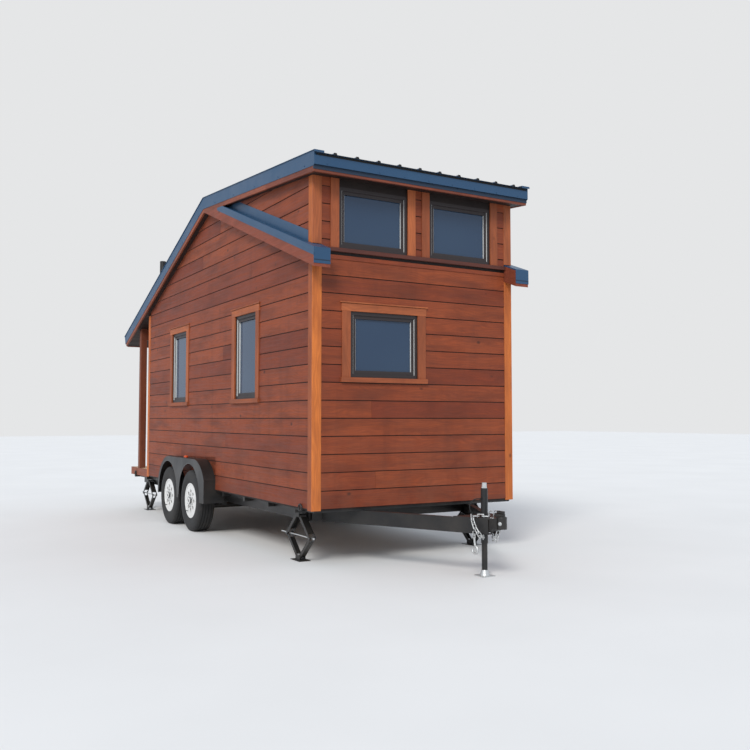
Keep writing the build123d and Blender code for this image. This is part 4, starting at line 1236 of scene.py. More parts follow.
@dataclass
class Windows:
    """Sealed panes, the spacer between them, and pale strips beside them that paint the sky's reflection on
    the side reveals.
    """
    openings: list[Opening]
    reveal: float = 0.058
    sight: float = 0.066
    setback: float = 0.028
    pane: float = 0.004
    air: float = 0.012
    rim: float = 0.0072
    bead: float = 0.001
    step: float = 0.024

    def build(self) -> None:
        """Panes with their spacer, pale strips of painted reflection in every window, and the light in the
        door.
        """
        outer = Joinery("outer_panes", OUTER_GLASS, seed=31)
        inner = Joinery("inner_panes", INNER_GLASS, seed=32)
        spacers_and_sheen = Joinery("pane_spacers_and_painted_sheen", SPACER_AND_SHEEN, seed=33)
        for o in self.openings:
            if o.wall is BACK:
                continue
            span = (o.low + self.reveal, o.high - self.reveal, o.foot + self.reveal, o.head - self.reveal)
            self.glaze(outer, inner, spacers_and_sheen, o.wall, span, -self.setback)
            # Pale strips of painted reflection on the side reveals.
            self.painted_sheen_strips(spacers_and_sheen, o.wall, span)
        low, high = [box for box in islands("window_glass") if box[0].y > RIDGE_Y and abs(box[0].x) < 0.5][0]
        door = WallFace("door", Vector((0, high.y, 0)), X, Y)
        self.glaze(outer, inner, spacers_and_sheen, door, (low.x, high.x, low.z, high.z), -0.001)
        for piece in (outer.build(0.0), inner.build(0.0), spacers_and_sheen.build(0.0)):
            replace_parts(piece, "window_glass")

    def glaze(self, outer: Joinery, inner: Joinery, spacers_and_sheen: Joinery, wall: WallFace, span: tuple,
              face: float) -> None:
        """Two panes with a metal spacer between their edges.

        Args:
            outer: the piece that takes the outer pane.
            inner: the piece that takes the inner pane.
            spacers_and_sheen: the piece that takes the spacer.
            wall: the wall or leaf that the panes stand in.
            span: the panes' two ends along the wall, then their foot and their head.
            face: how far the outer pane's face stands off the wall's skin.
        """
        u0, u1, z0, z1 = span
        for made, out in ((outer, face), (inner, face - self.pane - self.air)):
            ring = [wall.at(u0, z0, out), wall.at(u1, z0, out), wall.at(u1, z1, out), wall.at(u0, z1, out)]
            made.prism(ring, -wall.out * self.pane, Z, 0.5)
        rim = self.rim
        out = face - self.pane - SLIT
        for a, b, c, d in ((u0, u0 + rim, z0, z1), (u1 - rim, u1, z0, z1), (u0 + rim, u1 - rim, z0, z0 + rim),
                           (u0 + rim, u1 - rim, z1 - rim, z1)):
            ring = [wall.at(a, c, out), wall.at(b, c, out), wall.at(b, d, out), wall.at(a, d, out)]
            spacers_and_sheen.prism(ring, -wall.out * (self.air - 2 * SLIT), Z, 0.5)

    def painted_sheen_strips(self, made: Joinery, wall: WallFace, span: tuple) -> None:
        """Pale strips up both sides, on the sash's reveal and on the frame's step, that paint the sky's
        reflection there.

        Args:
            made: the piece that takes them.
            wall: the wall that the window stands in.
            span: the pane's two ends along the wall, then its foot and its head.
        """
        u0, u1, z0, z1 = span
        inset = self.sight - self.reveal
        for side, near, deep in ((inset, 0.012, 0.016), (-self.step, 0.0, 0.012)):
            foot, head = z0 + side, z1 - side
            for u, way in ((u0 + side, 1), (u1 - side, -1)):
                ring = [wall.at(u, z, -near) for z in (foot, head)]
                ring += [wall.at(u + way * self.bead, z, -near) for z in (head, foot)]
                made.prism(ring, -wall.out * deep, Z, 0.5)


@dataclass
class Eaves:
    """Wooden fascias, the closure under the front sheets, painted shade at the rib ends and sheet edge, side
    roof steel and trim screws.
    """
    thick: float = 0.022
    inset: float = 0.004
    foot: float = 0.19
    joint: float = 0.0008
    front_joint: float = 1.9
    rear_joint: float = 2.35
    film: float = 0.0008
    rib_foot: float = 0.022
    rib_head: float = 0.0125
    rib_high: float = 0.0205

    def build(self) -> None:
        """All the wood and small parts round the roof's edge."""
        low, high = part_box("fascia_boards")
        made = Joinery("fascia_timbers", FASCIA, seed=51)
        y0, y1 = low[1], high[1]
        slope = Vector((0, 1, -MAIN_RISE)).normalized()
        rise = Vector((0, 1, DORMER_RISE)).normalized()
        cut = math.sin(math.atan(MAIN_RISE)) * math.cos(math.atan(MAIN_RISE))
        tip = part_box("rear_roof")[1][1] + ROOF_COVER * cut
        for sign in (-1, 1):
            x = sign * (ROOF_HALF - self.inset)
            depth = X * (-sign * self.thick)
            joint = RIDGE_Y - self.front_joint
            for a, b in ((y0, joint - self.joint), (joint + self.joint, RIDGE_Y)):
                points = [(a, ROOF_COVER), (b, ROOF_COVER), (b, self.foot), (a, self.foot)]
                made.prism([Vector((x, y, top_line(y) - d)) for y, d in points], depth, rise)
            joint = RIDGE_Y + self.rear_joint
            for a, b in ((RIDGE_Y, joint - self.joint), (joint + self.joint, tip)):
                end = b == tip
                points = [(a, ROOF_COVER), (b - ROOF_COVER * cut * end, ROOF_COVER),
                          (b - self.foot * cut * end, self.foot), (a, self.foot)]
                made.prism([Vector((x, y, top_line(y) - d)) for y, d in points], depth, slope)
        reach = ROOF_HALF - self.inset - self.thick
        head = top_line(y0)
        made.box((-reach, y0, head - self.foot), (reach, y0 + self.thick, head - ROOF_COVER), X, 0.3)
        top = Vector((-reach, tip - ROOF_COVER * cut, top_line(tip - ROOF_COVER * cut) - ROOF_COVER))
        bottom = Vector((-reach, tip - self.foot * cut, top_line(tip - self.foot * cut) - self.foot))
        lean = math.atan(MAIN_RISE)
        outward = Vector((0, math.cos(lean), -math.sin(lean))) * self.thick
        made.prism([top, bottom, bottom + outward, top + outward], X * 2 * reach, X)
        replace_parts(made.build(), "fascia_boards")
        self.closures()
        self.side_roof_steel()
        self.screws()

    def closures(self) -> None:
        """A black closure under the sheets' front edge, whose dark colour also paints the shadow under their
        overhang, and black plates that paint the shade inside their rib ends and under their edge.
        """
        closure_and_shade = Joinery("eave_closure_and_painted_shade", SEAL_AND_SHADE, seed=52)
        reach = ROOF_HALF - self.inset - self.thick
        head = top_line(EAVE_Y)
        low = (-reach, EAVE_Y + 0.001, head - 0.043)
        closure_and_shade.box(low, (reach, EAVE_Y + 0.011, head - ROOF_COVER - SLIT), X)
        top = top_line(SHEET_Y) - ROOF_COVER
        # Painted shade: thin black plates over the hollow ends of the ribs.
        for i in range(RIBS):
            x = (i - (RIBS - 1) / 2) * RIB_PITCH
            ring = [(x - self.rib_foot, 0.0), (x + self.rib_foot, 0.0), (x + self.rib_head, self.rib_high),
                    (x - self.rib_head, self.rib_high)]
            closure_and_shade.prism([Vector((u, SHEET_Y, top + v)) for u, v in ring], -Y * self.film, X)
        # Painted shade: a thin black strip on the sheets' front edge, for their shadowed underside.
        closure_and_shade.box((-reach, SHEET_Y - 0.0006, top - 0.001), (reach, SHEET_Y, top + 0.0035), X)
        closure_and_shade.build(0.0)

    def side_roof_steel(self) -> None:
        """Hems under the side roofs' rake plates, a darker blue line of painted shade under the hem of their
        boxes, and the dormer walls' flashing.
        """
        hem_head, hem_foot = 0.05, 0.078
        flashing_high, flashing_past = 0.105, 0.1
        box_inner, box_deep = 1.068, 0.145
        painted_shade_foot, painted_shade_head = 0.026, 0.036
        made = Joinery("side_roof_hems", BLUE, seed=53)
        shade_line = Joinery("side_roof_painted_shade_lines", SHADE_BLUE, seed=54)
        low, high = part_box("pent_flashings")
        rake = Vector((0, 1, MAIN_RISE)).normalized()
        for sign in (-1, 1):
            x = sign * (ROOF_HALF - self.inset)
            points = [(low[1], hem_head), (high[1], hem_head), (high[1], hem_foot), (low[1], hem_foot)]
            made.prism([Vector((x, y, pent_line(y) - d)) for y, d in points], X * sign * 0.002, rake)
            skin = sign * (SKIN + 0.011)
            y0, y1 = FRONT + CASING + 0.002, high[1] + flashing_past
            points = [(y0, 0.001), (y1, 0.001), (y1, flashing_high), (y0, flashing_high)]
            made.prism([Vector((skin, y, pent_line(y) + d)) for y, d in points], X * sign * 0.0015, rake)
            xs = sorted((sign * (ROOF_HALF - 0.002), sign * box_inner))
            foot = pent_line(EAVE_Y) - box_deep
            # Painted shadow under the box's hem: a strip of the darker blue.
            shade_line.box((xs[0], EAVE_Y - 0.0012, foot + painted_shade_foot), (xs[1], EAVE_Y, foot + painted_shade_head), X)
        made.build(0.0)
        shade_line.build(0.0)

    def screws(self) -> None:
        """Painted screws in the rake plates and the front trim."""
        rake_first, rake_pitch, rake_down = 0.2, 0.6, 0.118
        front_pitch, front_down = 0.275, 0.112
        places = []
        for sign in (-1, 1):
            for i in range(11):
                y = EAVE_Y + rake_first + i * rake_pitch
                places.append((Vector((sign * ROOF_HALF, y, top_line(y) - rake_down)), X * sign))
        for i in range(-4, 5):
            places.append((Vector((i * front_pitch, EAVE_Y, top_line(EAVE_Y) - front_down)), -Y))
        hexes("trim_screws", places, SCREW, 0.004, BLUE, washer=0.0065)


@dataclass
class Roofing:
    """Screws through the sheets and the vent stub on the long slope."""
    pitch: float = 0.6
    first_row: float = 0.16
    beside_rib: float = 0.086
    dormer_run: float = 2.55
    main_run: float = 3.15
    vent_x: float = -1.14
    vent_along: float = 4.797

    def build(self) -> None:
        """Rows of screws beside the ribs, and the stub."""
        places = []
        for slope, rise, run in ((-1, DORMER_RISE, self.dormer_run), (1, MAIN_RISE, self.main_run)):
            angle = math.atan(rise)
            out = Vector((0, slope * math.sin(angle), math.cos(angle)))
            rows = int(run / self.pitch) + 1
            for row in range(rows):
                y = RIDGE_Y + slope * (self.first_row + row * self.pitch)
                up = top_line(y) - ROOF_COVER + 0.003
                for i in range(RIBS - 1):
                    x = (i - (RIBS - 2) / 2) * RIB_PITCH
                    for side in (-self.beside_rib, self.beside_rib):
                        places.append((Vector((x + side, y, up)), out))
        hexes("sheet_screws", places, SCREW, 0.005, BLUE, washer=0.008)
        self.vent()

    def vent(self) -> None:
        """A black pipe stub in its rubber boot, upright on the long slope."""
        y = FRONT + self.vent_along
        base = Vector((self.vent_x, y, top_line(y) - ROOF_COVER - 0.012))
        boot = [(0.075, 0.0), (0.075, 0.02), (0.058, 0.045), (0.048, 0.06), (0.043, 0.06)]
        lathe("vent_boot", boot, base, Z, SEAL_AND_SHADE, segments=36)
        pipe = [(0.0, 0.0), (0.042, 0.0), (0.042, 0.317), (0.036, 0.32), (0.036, 0.27), (0.0, 0.27)]
        lathe("vent_stub", pipe, base, Z, BLACK, segments=36)


@dataclass
class Porch:
    """Deck boards, their frame, the posts and the beam."""
    board: float = 0.14
    gap: float = 0.005
    thick: float = 0.027
    skirt: float = 0.022
    joist: float = 0.945
    joist_half: float = 0.025
    post: float = 0.09
    beam: float = 0.14

    def build(self) -> None:
        """All the porch timbers."""
        low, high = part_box("porch_deck")
        (x0, y0, _), (x1, y1, top) = low, high
        skirt = self.skirt
        under = top - self.thick
        deck = Joinery("porch_boards", DECK, seed=61)
        count = round((y1 - y0 - skirt) / (self.board + self.gap))
        wide = (y1 - y0 - skirt) / count
        for i in range(count):
            y = y0 + i * wide
            deck.box((x0 + skirt, y + self.gap / 2, under), (x1 - skirt, y + wide - self.gap / 2, top), X)
        foot = low[2]
        half = self.joist_half
        for x in (-self.joist, 0.0, self.joist):
            deck.box((x - half, y0 + skirt, WALL_FOOT), (x + half, y1 - skirt, under - SLIT), Y)
        deck.box((x0 + skirt, y0, WALL_FOOT), (x1 - skirt, y0 + skirt, under - SLIT), X)
        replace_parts(deck.build(), "porch_deck")
        edge = Joinery("porch_skirt", FASCIA, seed=62)
        for sign in (-1, 1):
            xs = sorted((sign * x1, sign * (x1 - skirt)))
            edge.box((xs[0], y0, foot), (xs[1], y1, top), Y)
        edge.box((x0 + skirt, y1 - skirt, foot), (x1 - skirt, y1, top), X)
        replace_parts(edge.build(), "porch_deck")
        low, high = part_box("porch_frame")
        # The posts take the cedar darkened as painted shade.
        posts = Joinery("porch_posts", SHADED_POST, seed=63)
        beam_foot = top_line(high[1]) - WALL_HEAD - self.beam
        for sign in (-1, 1):
            xs = sorted((sign * high[0], sign * (high[0] - self.post)))
            posts.box((xs[0], low[1], top), (xs[1], high[1], beam_foot), Z)
        points = [(low[1], beam_foot), (high[1], beam_foot), (high[1], top_line(high[1]) - WALL_HEAD),
                  (low[1], top_line(low[1]) - WALL_HEAD)]
        posts.prism([Vector((low[0], y, z)) for y, z in points], X * (high[0] - low[0]), X)
        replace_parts(posts.build(0.003), "porch_frame")


@dataclass
class Door:
    """Stiles, rails, hinges and a lever handle on the entry door."""
    stile: float = 0.11
    raised: float = 0.006
    kick_rail: float = 0.2
    head_rail: float = 0.1
    lock_rail: float = 0.13
    below_light: float = 0.02
    bead: float = 0.018
    bead_proud: float = 0.009
    handle_up: float = 1.0
    hinge_half: float = 0.045

    def build(self) -> None:
        """Raised framing over the leaf, a glazing bead, and the ironmongery."""
        low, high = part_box("entry_door")
        glass = [box for box in islands("window_glass") if box[0].y > RIDGE_Y and abs(box[0].x) < 0.5][0]
        y = high[1]
        face = WallFace("leaf", Vector((0, y, 0)), X, Y)
        made = Joinery("door_framing", DOOR, seed=71)
        trim = WallTrim([])
        wide = self.stile
        for u0, u1 in ((low[0], low[0] + wide), (high[0] - wide, high[0])):
            trim.plank(made, face, (u0, u1, low[2], high[2]), self.raised, Z)
        u0, u1 = low[0] + wide, high[0] - wide
        g0, g1 = glass
        lock = g0.z - self.below_light
        for z0, z1 in ((low[2], low[2] + self.kick_rail), (lock - self.lock_rail, lock),
                       (high[2] - self.head_rail, high[2])):
            trim.plank(made, face, (u0, u1, z0, z1), self.raised, X)
        made.build()
        bead = Joinery("door_glazing_bead", BRONZE, seed=72)
        rim = self.bead
        for span in ((g0.x - rim, g0.x, g0.z - rim, g1.z + rim), (g1.x, g1.x + rim, g0.z - rim, g1.z + rim),
                     (g0.x, g1.x, g0.z - rim, g0.z), (g0.x, g1.x, g1.z, g1.z + rim)):
            trim.plank(bead, face, span, self.bead_proud, Z)
        bead.build()
        handle = Vector((high[0] - self.stile / 2, y + self.raised, low[2] + self.handle_up))
        lathe("door_rose", [(0.0, 0.009), (0.024, 0.008), (0.027, 0.0)], handle, Y, ZINC)
        lever = [handle, handle + Y * 0.045, handle + Y * 0.05 - X * 0.03, handle + Y * 0.05 - X * 0.12]
        rod("door_lever", [lever], 0.008, ZINC)
        knuckles = (low[2] + 0.2, low[2] + 1.0, high[2] - 0.2)
        reach = (-self.hinge_half, 0, self.hinge_half)
        hinges = [[Vector((low[0] - 0.001, y + 0.002, z + up)) for up in reach] for z in knuckles]
        rod("door_hinges", hinges, 0.007, ZINC)


# Running gear

@dataclass
class Wheels:
    """Tyres with tread, hub caps, nuts and valves."""
    nuts: int = 6
    disc_inset: float = 0.018
    nut_circle: float = 0.07
    tread_segments: int = 120
    bead: float = 0.198
    block_depth: float = 0.007
    valve_circle: float = 0.165

    def build(self) -> None:
        """Dresses the four wheels."""
        for place in PLACES:
            self.tyre(place)
            self.hub(place)

    def tyre(self, place: str) -> None:
        """One tyre with round sides, grooves and shoulder blocks.

        Args:
            place: which wheel, as in PLACES.
        """
        low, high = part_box(f"{place}_tyre")
        outer = (high[2] - low[2]) / 2
        half = (high[0] - low[0]) / 2
        origin = Vector([(a + b) / 2 for a, b in zip(low, high)])
        bead = self.bead
        side = [(half * 0.8, bead), (half * 0.87, bead + 0.016), (half * 0.965, bead + 0.05),
                (half * 0.998, bead + 0.086), (half * 0.985, bead + 0.115), (half * 0.93, outer - 0.028),
                (half * 0.86, outer - 0.01)]
        grooves = []
        for middle in (0.5, 0.17, -0.17, -0.5):
            grooves += [(half * (middle + 0.05), outer - 0.001), (half * (middle + 0.04), outer - 0.009),
                        (half * (middle - 0.04), outer - 0.009), (half * (middle - 0.05), outer - 0.001)]
        tread = [(half * 0.76, outer - 0.002)] + grooves + [(-half * 0.76, outer - 0.002)]
        inner = [(-h, r) for h, r in side[::-1]]
        profile = [(r, h) for h, r in side + tread + inner]
        made = lathe(f"{place}_tyre_tread", profile, origin, X, TYRE, f"{place}_wheel",
                     self.tread_segments, True)
        count = len(profile)
        shoulder = [len(side) - 1, len(side), count - len(side) - 1, count - len(side)]
        centre = Vector((0, origin.y, origin.z))
        for i in range(0, self.tread_segments, 3):
            for j in shoulder:
                vertex = made.data.vertices[i * count + j]
                spoke = Vector((0, vertex.co.y, vertex.co.z)) - centre
                vertex.co -= spoke.normalized() * self.block_depth
        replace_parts(made, f"{place}_tyre")

    def hub(self, place: str) -> None:
        """Grey cap, nuts and valve on one wheel's outer side.

        Args:
            place: which wheel, as in PLACES.
        """
        low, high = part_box(f"{place}_tyre")
        sign = -1 if "left" in place else 1
        axis = X * sign
        middle = Vector([(a + b) / 2 for a, b in zip(low, high)])
        face = middle + axis * ((high[0] - low[0]) / 2 - self.disc_inset)
        body = f"{place}_wheel"
        cap = [(0.041, 0.0), (0.041, 0.016), (0.037, 0.023), (0.018, 0.026), (0.0, 0.027)]
        lathe(f"{place}_hub_cap", cap, face, axis, GREY_CAP, body)
        places = []
        for i in range(self.nuts):
            turn = 2 * math.pi * (i + 0.5) / self.nuts
            places.append((face + (Y * math.cos(turn) + Z * math.sin(turn)) * self.nut_circle, axis))
        hexes(f"{place}_wheel_nuts", places, 0.0105, 0.018, ZINC, body, 0.014)
        foot = face + (Y * 0.6 - Z * 0.8) * self.valve_circle
        stem = [foot, foot + axis * 0.012, foot + axis * 0.026 + Z * 0.008]
        rod(f"{place}_valve", [stem], 0.004, SEAL_AND_SHADE, body)


@dataclass
class Fenders:
    """Rolled edges round the wheel arches, in light grey as a painted highlight, and the marker light on each
    fender.
    """
    arch: float = 0.396
    arch_up: float = 0.415
    roll: float = 0.004
    steps: int = 24
    marker_in: float = 0.045
    marker_along: float = 3.33

    def build(self) -> None:
        """Edges and lights on both sides."""
        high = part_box("fenders")[1]
        for sign in (-1, 1):
            name = "left" if sign < 0 else "right"
            x = sign * (high[0] - self.roll)
            runs = []
            for place in ("front", "rear"):
                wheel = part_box(f"{place}_{name}_tyre")
                y = (wheel[0][1] + wheel[1][1]) / 2
                turns = [math.pi * i / self.steps for i in range(self.steps + 1)]
                runs.append([Vector((x, y - self.arch * math.cos(a), self.arch_up + self.arch * math.sin(a)))
                             for a in turns])
            # Painted highlight along each arch's lip.
            rod(f"{name}_arch_edges", runs, self.roll, ROLLED_EDGE_HIGHLIGHT)
            base = Vector((sign * (high[0] - self.marker_in), FRONT + self.marker_along, high[2]))
            lathe(f"{name}_marker_base", [(0.0, 0.004), (0.03, 0.004), (0.032, 0.0)], base, Z, BLACK)
            dome = [(0.027, 0.004), (0.026, 0.018), (0.018, 0.026), (0.0, 0.028)]
            lathe(f"{name}_marker_light", dome, base, Z, MARKER)


def stadium(centre: Vector, along: Vector, across: Vector, long: float, wide: float) -> list[Vector]:
    """Control points of one chain link.

    Args:
        centre: the link's middle.
        along: its long way.
        across: its short way.
        long: its length between control points.
        wide: its width between control points.

    Returns:
        Eight points for a closed run.
    """
    half, side = long / 2, wide / 2
    corners = [(half * 0.55, side), (half, side), (half, -side), (half * 0.55, -side), (-half * 0.55, -side),
               (-half, -side), (-half, side), (-half * 0.55, side)]
    return [centre + along * a + across * b for a, b in corners]


@dataclass
class Tongue:
    """Cable, chains, hook, latch, nuts and cap on the tongue. Routes are measured from the jack's axis."""
    plate: float = 0.507
    link_long: float = 0.058
    link_wide: float = 0.032
    link_wire: float = 0.0044
    left_chain: tuple = ((-0.045, -0.075, 0.518), (-0.09, -0.02, 0.518), (-0.130, -0.002, 0.519),
                         (-0.148, -0.03, 0.485), (-0.152, -0.06, 0.44), (-0.144, -0.085, 0.40),
                         (-0.12, -0.095, 0.362), (-0.07, -0.07, 0.342), (-0.03, -0.03, 0.35))
    right_chain: tuple = ((0.05, -0.04, 0.39), (0.03, -0.09, 0.35), (0.0, -0.14, 0.33), (-0.01, -0.18, 0.34),
                          (-0.01, -0.2, 0.40))

    def cable(self) -> None:
        """The loop from the jack's tube to the coupler's plate, as in part.py."""
        route = [(-0.044, 0.660), (-0.080, 0.664), (-0.128, 0.652), (-0.160, 0.612), (-0.152, 0.560),
                 (-0.116, 0.519)]
        points = [Vector((x, JACK_Y, z)) for x, z in route]
        made = rod("jack_cable_loop", [points], 0.0045, JACKET)
        made.data.resolution_u = 24
        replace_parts(made, "jack_cable")

    def chain(self, name: str, points: list[Vector], pitch: float = 0.043) -> None:
        """A chain of welded links along a hanging line.

        Args:
            name: the piece's name.
            points: the line's corners.
            pitch: from one link's middle to the next.
        """
        lengths = [0.0]
        for a, b in zip(points, points[1:]):
            lengths.append(lengths[-1] + (b - a).length)
        links = []
        for i in range(int(lengths[-1] / pitch) + 1):
            at = i * pitch
            k = max(j for j, run in enumerate(lengths[:-1]) if run <= at)
            a, b = points[k], points[k + 1]
            along = (b - a).normalized()
            side = along.cross(Y).normalized() if i % 2 else along.cross(along.cross(Y)).normalized()
            centre = a + along * (at - lengths[k])
            links.append(stadium(centre, along, side, self.link_long, self.link_wide))
        made = rod(name, links, self.link_wire, ZINC, loop=True)
        made.data.resolution_u = 6

    def build(self) -> None:
        """The small pieces of the tongue."""
        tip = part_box("coupler")[0][1]
        self.jack_head()
        for name, route in (("safety_chain_left", self.left_chain), ("safety_chain_right", self.right_chain)):
            self.chain(name, [Vector((x, JACK_Y + along, z)) for x, along, z in route])
        self.hook()
        self.latch(tip)
        flange, face = self.plate + 0.010, self.plate + 0.001
        spots = ((-0.036, -0.02, flange), (0.036, -0.02, flange), (0, 0.04, flange), (-0.03, -0.13, face),
                 (-0.035, -0.165, face))
        places = [(Vector((x, JACK_Y + along, z)), Z) for x, along, z in spots]
        hexes("jack_bolts", places, 0.0075, 0.008, ZINC, washer=0.011)

    def jack_head(self) -> None:
        """Zinc hexagon under the cap of the jack's tube."""
        hexes("jack_cap_nut", [(Vector((0, JACK_Y, 0.7505)), Z)], 0.0245, 0.014, ZINC)

    def hook(self) -> None:
        """The hook and its eye, which hang under the rail beside the left chain."""
        x, y = -0.12, JACK_Y
        path = ((-0.012, 0.338), (-0.018, 0.305), (-0.022, 0.275), (-0.05, 0.262), (-0.062, 0.232),
                (-0.044, 0.205), (-0.008, 0.203), (0.014, 0.222), (0.016, 0.243))
        rod("safety_hook", [[Vector((x, y + a, z)) for a, z in path]], 0.0088, ZINC)
        eyes = [stadium(Vector((x, y - 0.012, 0.35)), Z, Y, 0.036, 0.026),
                stadium(Vector((x, y - 0.012, 0.372)), Z, X, 0.036, 0.024)]
        rod("safety_hook_eye", eyes, 0.0048, ZINC, loop=True)

    def latch(self, tip: float) -> None:
        """The coupler's latch, its bail and its nut.

        Args:
            tip: where the coupler's nose lies along Y.
        """
        made = Joinery("coupler_latch", BLACK, seed=81)
        made.box((-0.02, tip + 0.02, 0.52), (0.02, tip + 0.12, 0.553), Y)
        made.box((-0.011, tip + 0.012, 0.553), (0.011, tip + 0.1, 0.575), Y)
        made.build(0.003)
        bail = ((0.19, 0.508), (0.188, 0.545), (0.165, 0.568), (0.135, 0.566), (0.115, 0.552))
        bails = [[Vector((x, tip + a, z)) for a, z in bail] for x in (-0.026, 0.026)]
        rod("coupler_bail", bails, 0.0042, ZINC)
        nose = Vector((-0.85, -0.53, 0)).normalized()
        centre = Vector((0, tip + 0.044, 0.472))
        hexes("coupler_nut", [(centre + nose * 0.0435, nose)], 0.012, 0.012, ZINC, washer=0.016)


@dataclass
class Underframe:
    """Tie rings at the foot of the side walls."""
    ring_x: float = 1.168
    ring_up: float = 0.533
    ring: float = 0.032
    wire: float = 0.008
    places: tuple = (0.215, 6.0)

    def build(self) -> None:
        """A ring with its stem near each stabiliser jack."""
        runs = []
        for sign in (-1, 1):
            for along in self.places:
                centre = Vector((sign * self.ring_x, FRONT + along, self.ring_up))
                ring = [centre + (Y * math.cos(a) + Z * math.sin(a)) * self.ring
                        for a in (math.pi * (1.35 - 1.7 * i / 10) for i in range(11))]
                neck, stem = centre + Vector((0, 0.012, -0.03)), centre + Vector((-sign * 0.05, 0.01, -0.028))
                runs.append([*ring, neck, stem])
        rod("tie_rings", runs, self.wire, BLACK)


@dataclass
class StabiliserJacks:
    """Pin heads on the four folding jacks."""
    pin_in: float = 0.017

    def build(self) -> None:
        """Round heads on the pins of each arm."""
        for place in PLACES:
            sign = -1 if "left" in place else 1
            for end in ("front", "rear"):
                name = f"{place}_jack_{end}_upper_arm"
                low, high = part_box(name)
                knee_y = low[1] + self.pin_in if end == "front" else high[1] - self.pin_in
                for side, x in ((-1, low[0]), (1, high[0])):
                    head = [(0.0, 0.004), (0.007, 0.0035), (0.0095, 0.0)]
                    origin = Vector((x, knee_y, low[2] + self.pin_in))
                    label = f"{name}_pin_{'in' if side * sign < 0 else 'out'}"
                    lathe(label, head, origin, X * side, GREY_CAP, name, 16)


# Dressing of the frame's own pieces and the studio

@dataclass
class FrameFinishes:
    """Finishes and softened edges for the CAD nodes that show."""
    cap_foot: float = 0.7502
    socket_head: float = 0.1
    painted_shade_head: float = 0.126

    def table(self) -> dict[str, tuple[Finish, float]]:
        """Finish and edge width for each node.

        Returns:
            A finish and a width by node name.
        """
        # The walls' own faces take the near-black backing, painted shade for the gaps between boards.
        table = {name: (BACKING_SHADE, 0.0) for name in ("left_wall", "right_wall", "front_wall", "rear_wall")}
        # The roof slabs, whose undersides are the soffits, take the very dark colour of stain and painted
        # shade.
        table.update({
            "floor": (FLOOR, 0.0), "dormer_roof": (SOFFIT, 0.0), "rear_roof": (SOFFIT, 0.0),
            "pent_roofs": (PENT_WOOD, 0.0015), "door_frame": (JAMB, 0.0015), "entry_door": (DOOR, 0.0015),
            "window_frames": (BRONZE, 0.0012), "roof_sheets": (BLUE, 0.001), "roof_trims": (BLUE, 0.0012),
            "pent_flashings": (BLUE, 0.0012), "chassis": (BLACK, 0.0015), "tongue_rails": (BLACK, 0.0025),
            "coupler": (BLACK, 0.002), "axles": (BLACK, 0.0015), "fenders": (BLACK, 0.0012),
            "tongue_jack_tube": (BLACK, 0.001), "tongue_jack_leg": (ZINC, 0.001)})
        for place in PLACES:
            table[f"{place}_rim"] = (WHITE, 0.0012)
            table[f"{place}_jack_screw"] = (ZINC, 0.0012)
            table[f"{place}_jack_foot"] = (BLACK, 0.001)
            for end in ("front", "rear"):
                table[f"{place}_jack_{end}_upper_arm"] = (BLACK, 0.0008)
                table[f"{place}_jack_{end}_lower_arm"] = (BLACK, 0.0008)
        return table

    def build(self) -> None:
        """Dresses each node of the table, then paints the parts that differ from their node; the front trim's
        lower strip takes the darker blue as painted shade.
        """
        for name, (finish, width) in self.table().items():
            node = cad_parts[name]
            node.data.materials.clear()
            node.data.materials.append(finish.material())
            if width:
                chamfer(node, width)
        head = top_line(EAVE_Y) - self.painted_shade_head

        def in_painted_shade(polygon: bpy.types.MeshPolygon) -> bool:
            """Whether a face lies on the front trim's lower strip, which takes the darker blue as painted
            shade.

            Args:
                polygon: the face.

            Returns:
                True where it does.
            """
            centre = polygon.center
            inside = EAVE_Y + 0.002 < centre.y < EAVE_Y + 0.03 and centre.z < head
            return inside and abs(polygon.normal.x) < 0.5

        # Painted shade on the front trim's lower strip.
        self.paint("roof_trims", SHADE_BLUE, in_painted_shade)
        self.paint("tongue_jack_tube", ZINC, lambda polygon: polygon.center.z > self.cap_foot)
        self.paint("tongue_jack_leg", BLACK, lambda polygon: polygon.center.z > self.socket_head)

    def paint(self, name: str, finish: Finish, chosen: Callable[[bpy.types.MeshPolygon], bool]) -> None:
        """Gives a node's chosen faces a second finish.

        Args:
            name: the CAD node's name.
            finish: the second finish.
            chosen: says whether a face takes it.
        """
        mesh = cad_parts[name].data
        mesh.materials.append(finish.material())
        for polygon in mesh.polygons:
            polygon.material_index = int(chosen(polygon))


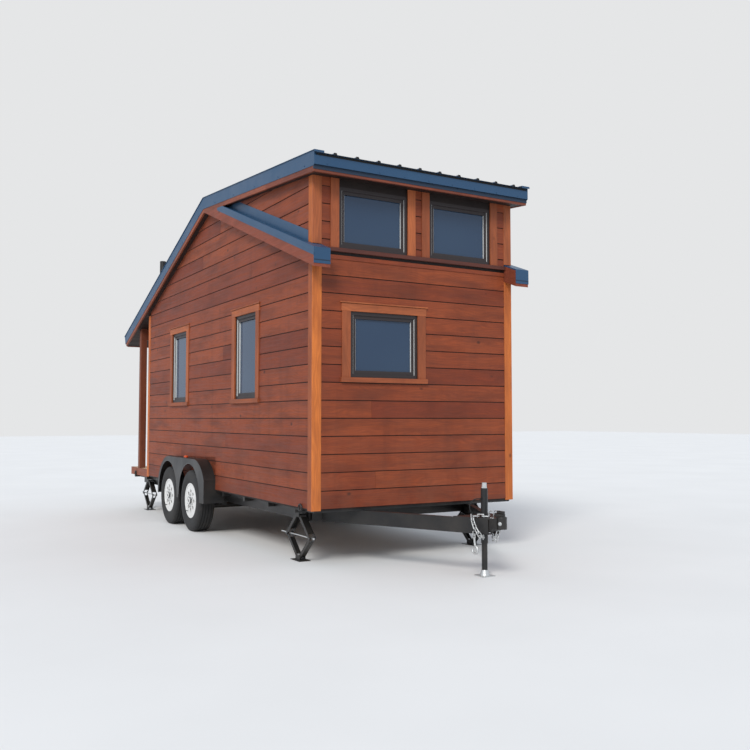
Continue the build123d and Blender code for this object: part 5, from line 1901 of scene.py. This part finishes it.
@dataclass
class Studio:
    """Camera, pale floor and soft light."""
    place: tuple = (-4.530, -9.516, 1.35)
    turn: tuple = (92.937, 0.0, -30.277)
    lens: float = 40.75
    floor_reach: float = 60
    sun_strength: float = 2.2
    sun_softness: float = 20
    sun_turn: tuple = (52, 0, -46)
    sky_strength: float = 0.9

    def camera(self) -> None:
        """The camera at the photograph's place."""
        data = bpy.data.cameras.new("camera")
        data.lens = self.lens
        data.sensor_width = 36
        data.dof.use_dof = False
        eye = bpy.data.objects.new("camera", data)
        eye.location = self.place
        eye.rotation_euler = [math.radians(a) for a in self.turn]
        bpy.context.scene.collection.objects.link(eye)
        bpy.context.scene.camera = eye

    def floor(self) -> None:
        """A wide pale floor."""
        mesh = bpy.data.meshes.new("studio_floor")
        reach = self.floor_reach
        corners = [(-reach, -reach, 0), (reach, -reach, 0), (reach, reach, 0), (-reach, reach, 0)]
        mesh.from_pydata(corners, [], [(0, 1, 2, 3)])
        material = bpy.data.materials.new("studio_floor")
        material.use_nodes = True
        graph = Graph(material.node_tree)
        shader = material.node_tree.nodes["Principled BSDF"]
        place = graph.node("ShaderNodeTexCoord").outputs["Object"]
        soft = graph.noise(place, 0.6, 3.0, 0.5)
        graph.feed(shader.inputs["Base Color"], graph.mix(soft, srgb(214, 214, 213), srgb(224, 224, 223)))
        shader.inputs["Roughness"].default_value = 0.9
        mesh.materials.append(material)
        made = bpy.data.objects.new("studio_floor", mesh)
        bpy.context.scene.collection.objects.link(made)

    def light(self) -> None:
        """A broad soft sun from behind the camera's left shoulder, and an even sky."""
        sun = bpy.data.lights.new("key", "SUN")
        sun.energy = self.sun_strength
        sun.angle = math.radians(self.sun_softness)
        sun.color = (1.0, 0.97, 0.93)
        lamp = bpy.data.objects.new("key", sun)
        lamp.rotation_euler = [math.radians(a) for a in self.sun_turn]
        bpy.context.scene.collection.objects.link(lamp)
        world = bpy.data.worlds.new("studio")
        bpy.context.scene.world = world
        world.use_nodes = True
        graph = Graph(world.node_tree)
        back = world.node_tree.nodes["Background"]
        path = graph.node("ShaderNodeLightPath").outputs["Is Camera Ray"]
        graph.feed(back.inputs["Color"], graph.mix(path, (0.80, 0.86, 0.95, 1), srgb(240, 241, 242)))
        back.inputs["Strength"].default_value = self.sky_strength
        bpy.context.scene.view_settings.view_transform = "Standard"


def main() -> None:
    """Builds the scene in order."""
    studio = Studio()
    studio.camera()
    make_groups()
    tongue = Tongue()
    tongue.cable()
    openings = find_openings()
    log.info("openings %d", len(openings))
    parts = (("walls", Siding(openings)), ("glazing", Windows(openings)), ("eaves", Eaves()),
             ("roofing", Roofing()), ("porch", Porch()), ("door", Door()), ("wheels", Wheels()),
             ("fenders", Fenders()), ("tongue", tongue), ("underframe", Underframe()),
             ("stabiliser jacks", StabiliserJacks()), ("frame finishes", FrameFinishes()))
    for name, part in parts:
        part.build()
        log.info("built %s", name)
    trim = WallTrim(openings)
    trim.corners()
    trim.casings()
    studio.floor()
    studio.light()


if __name__ == "__main__":
    main()
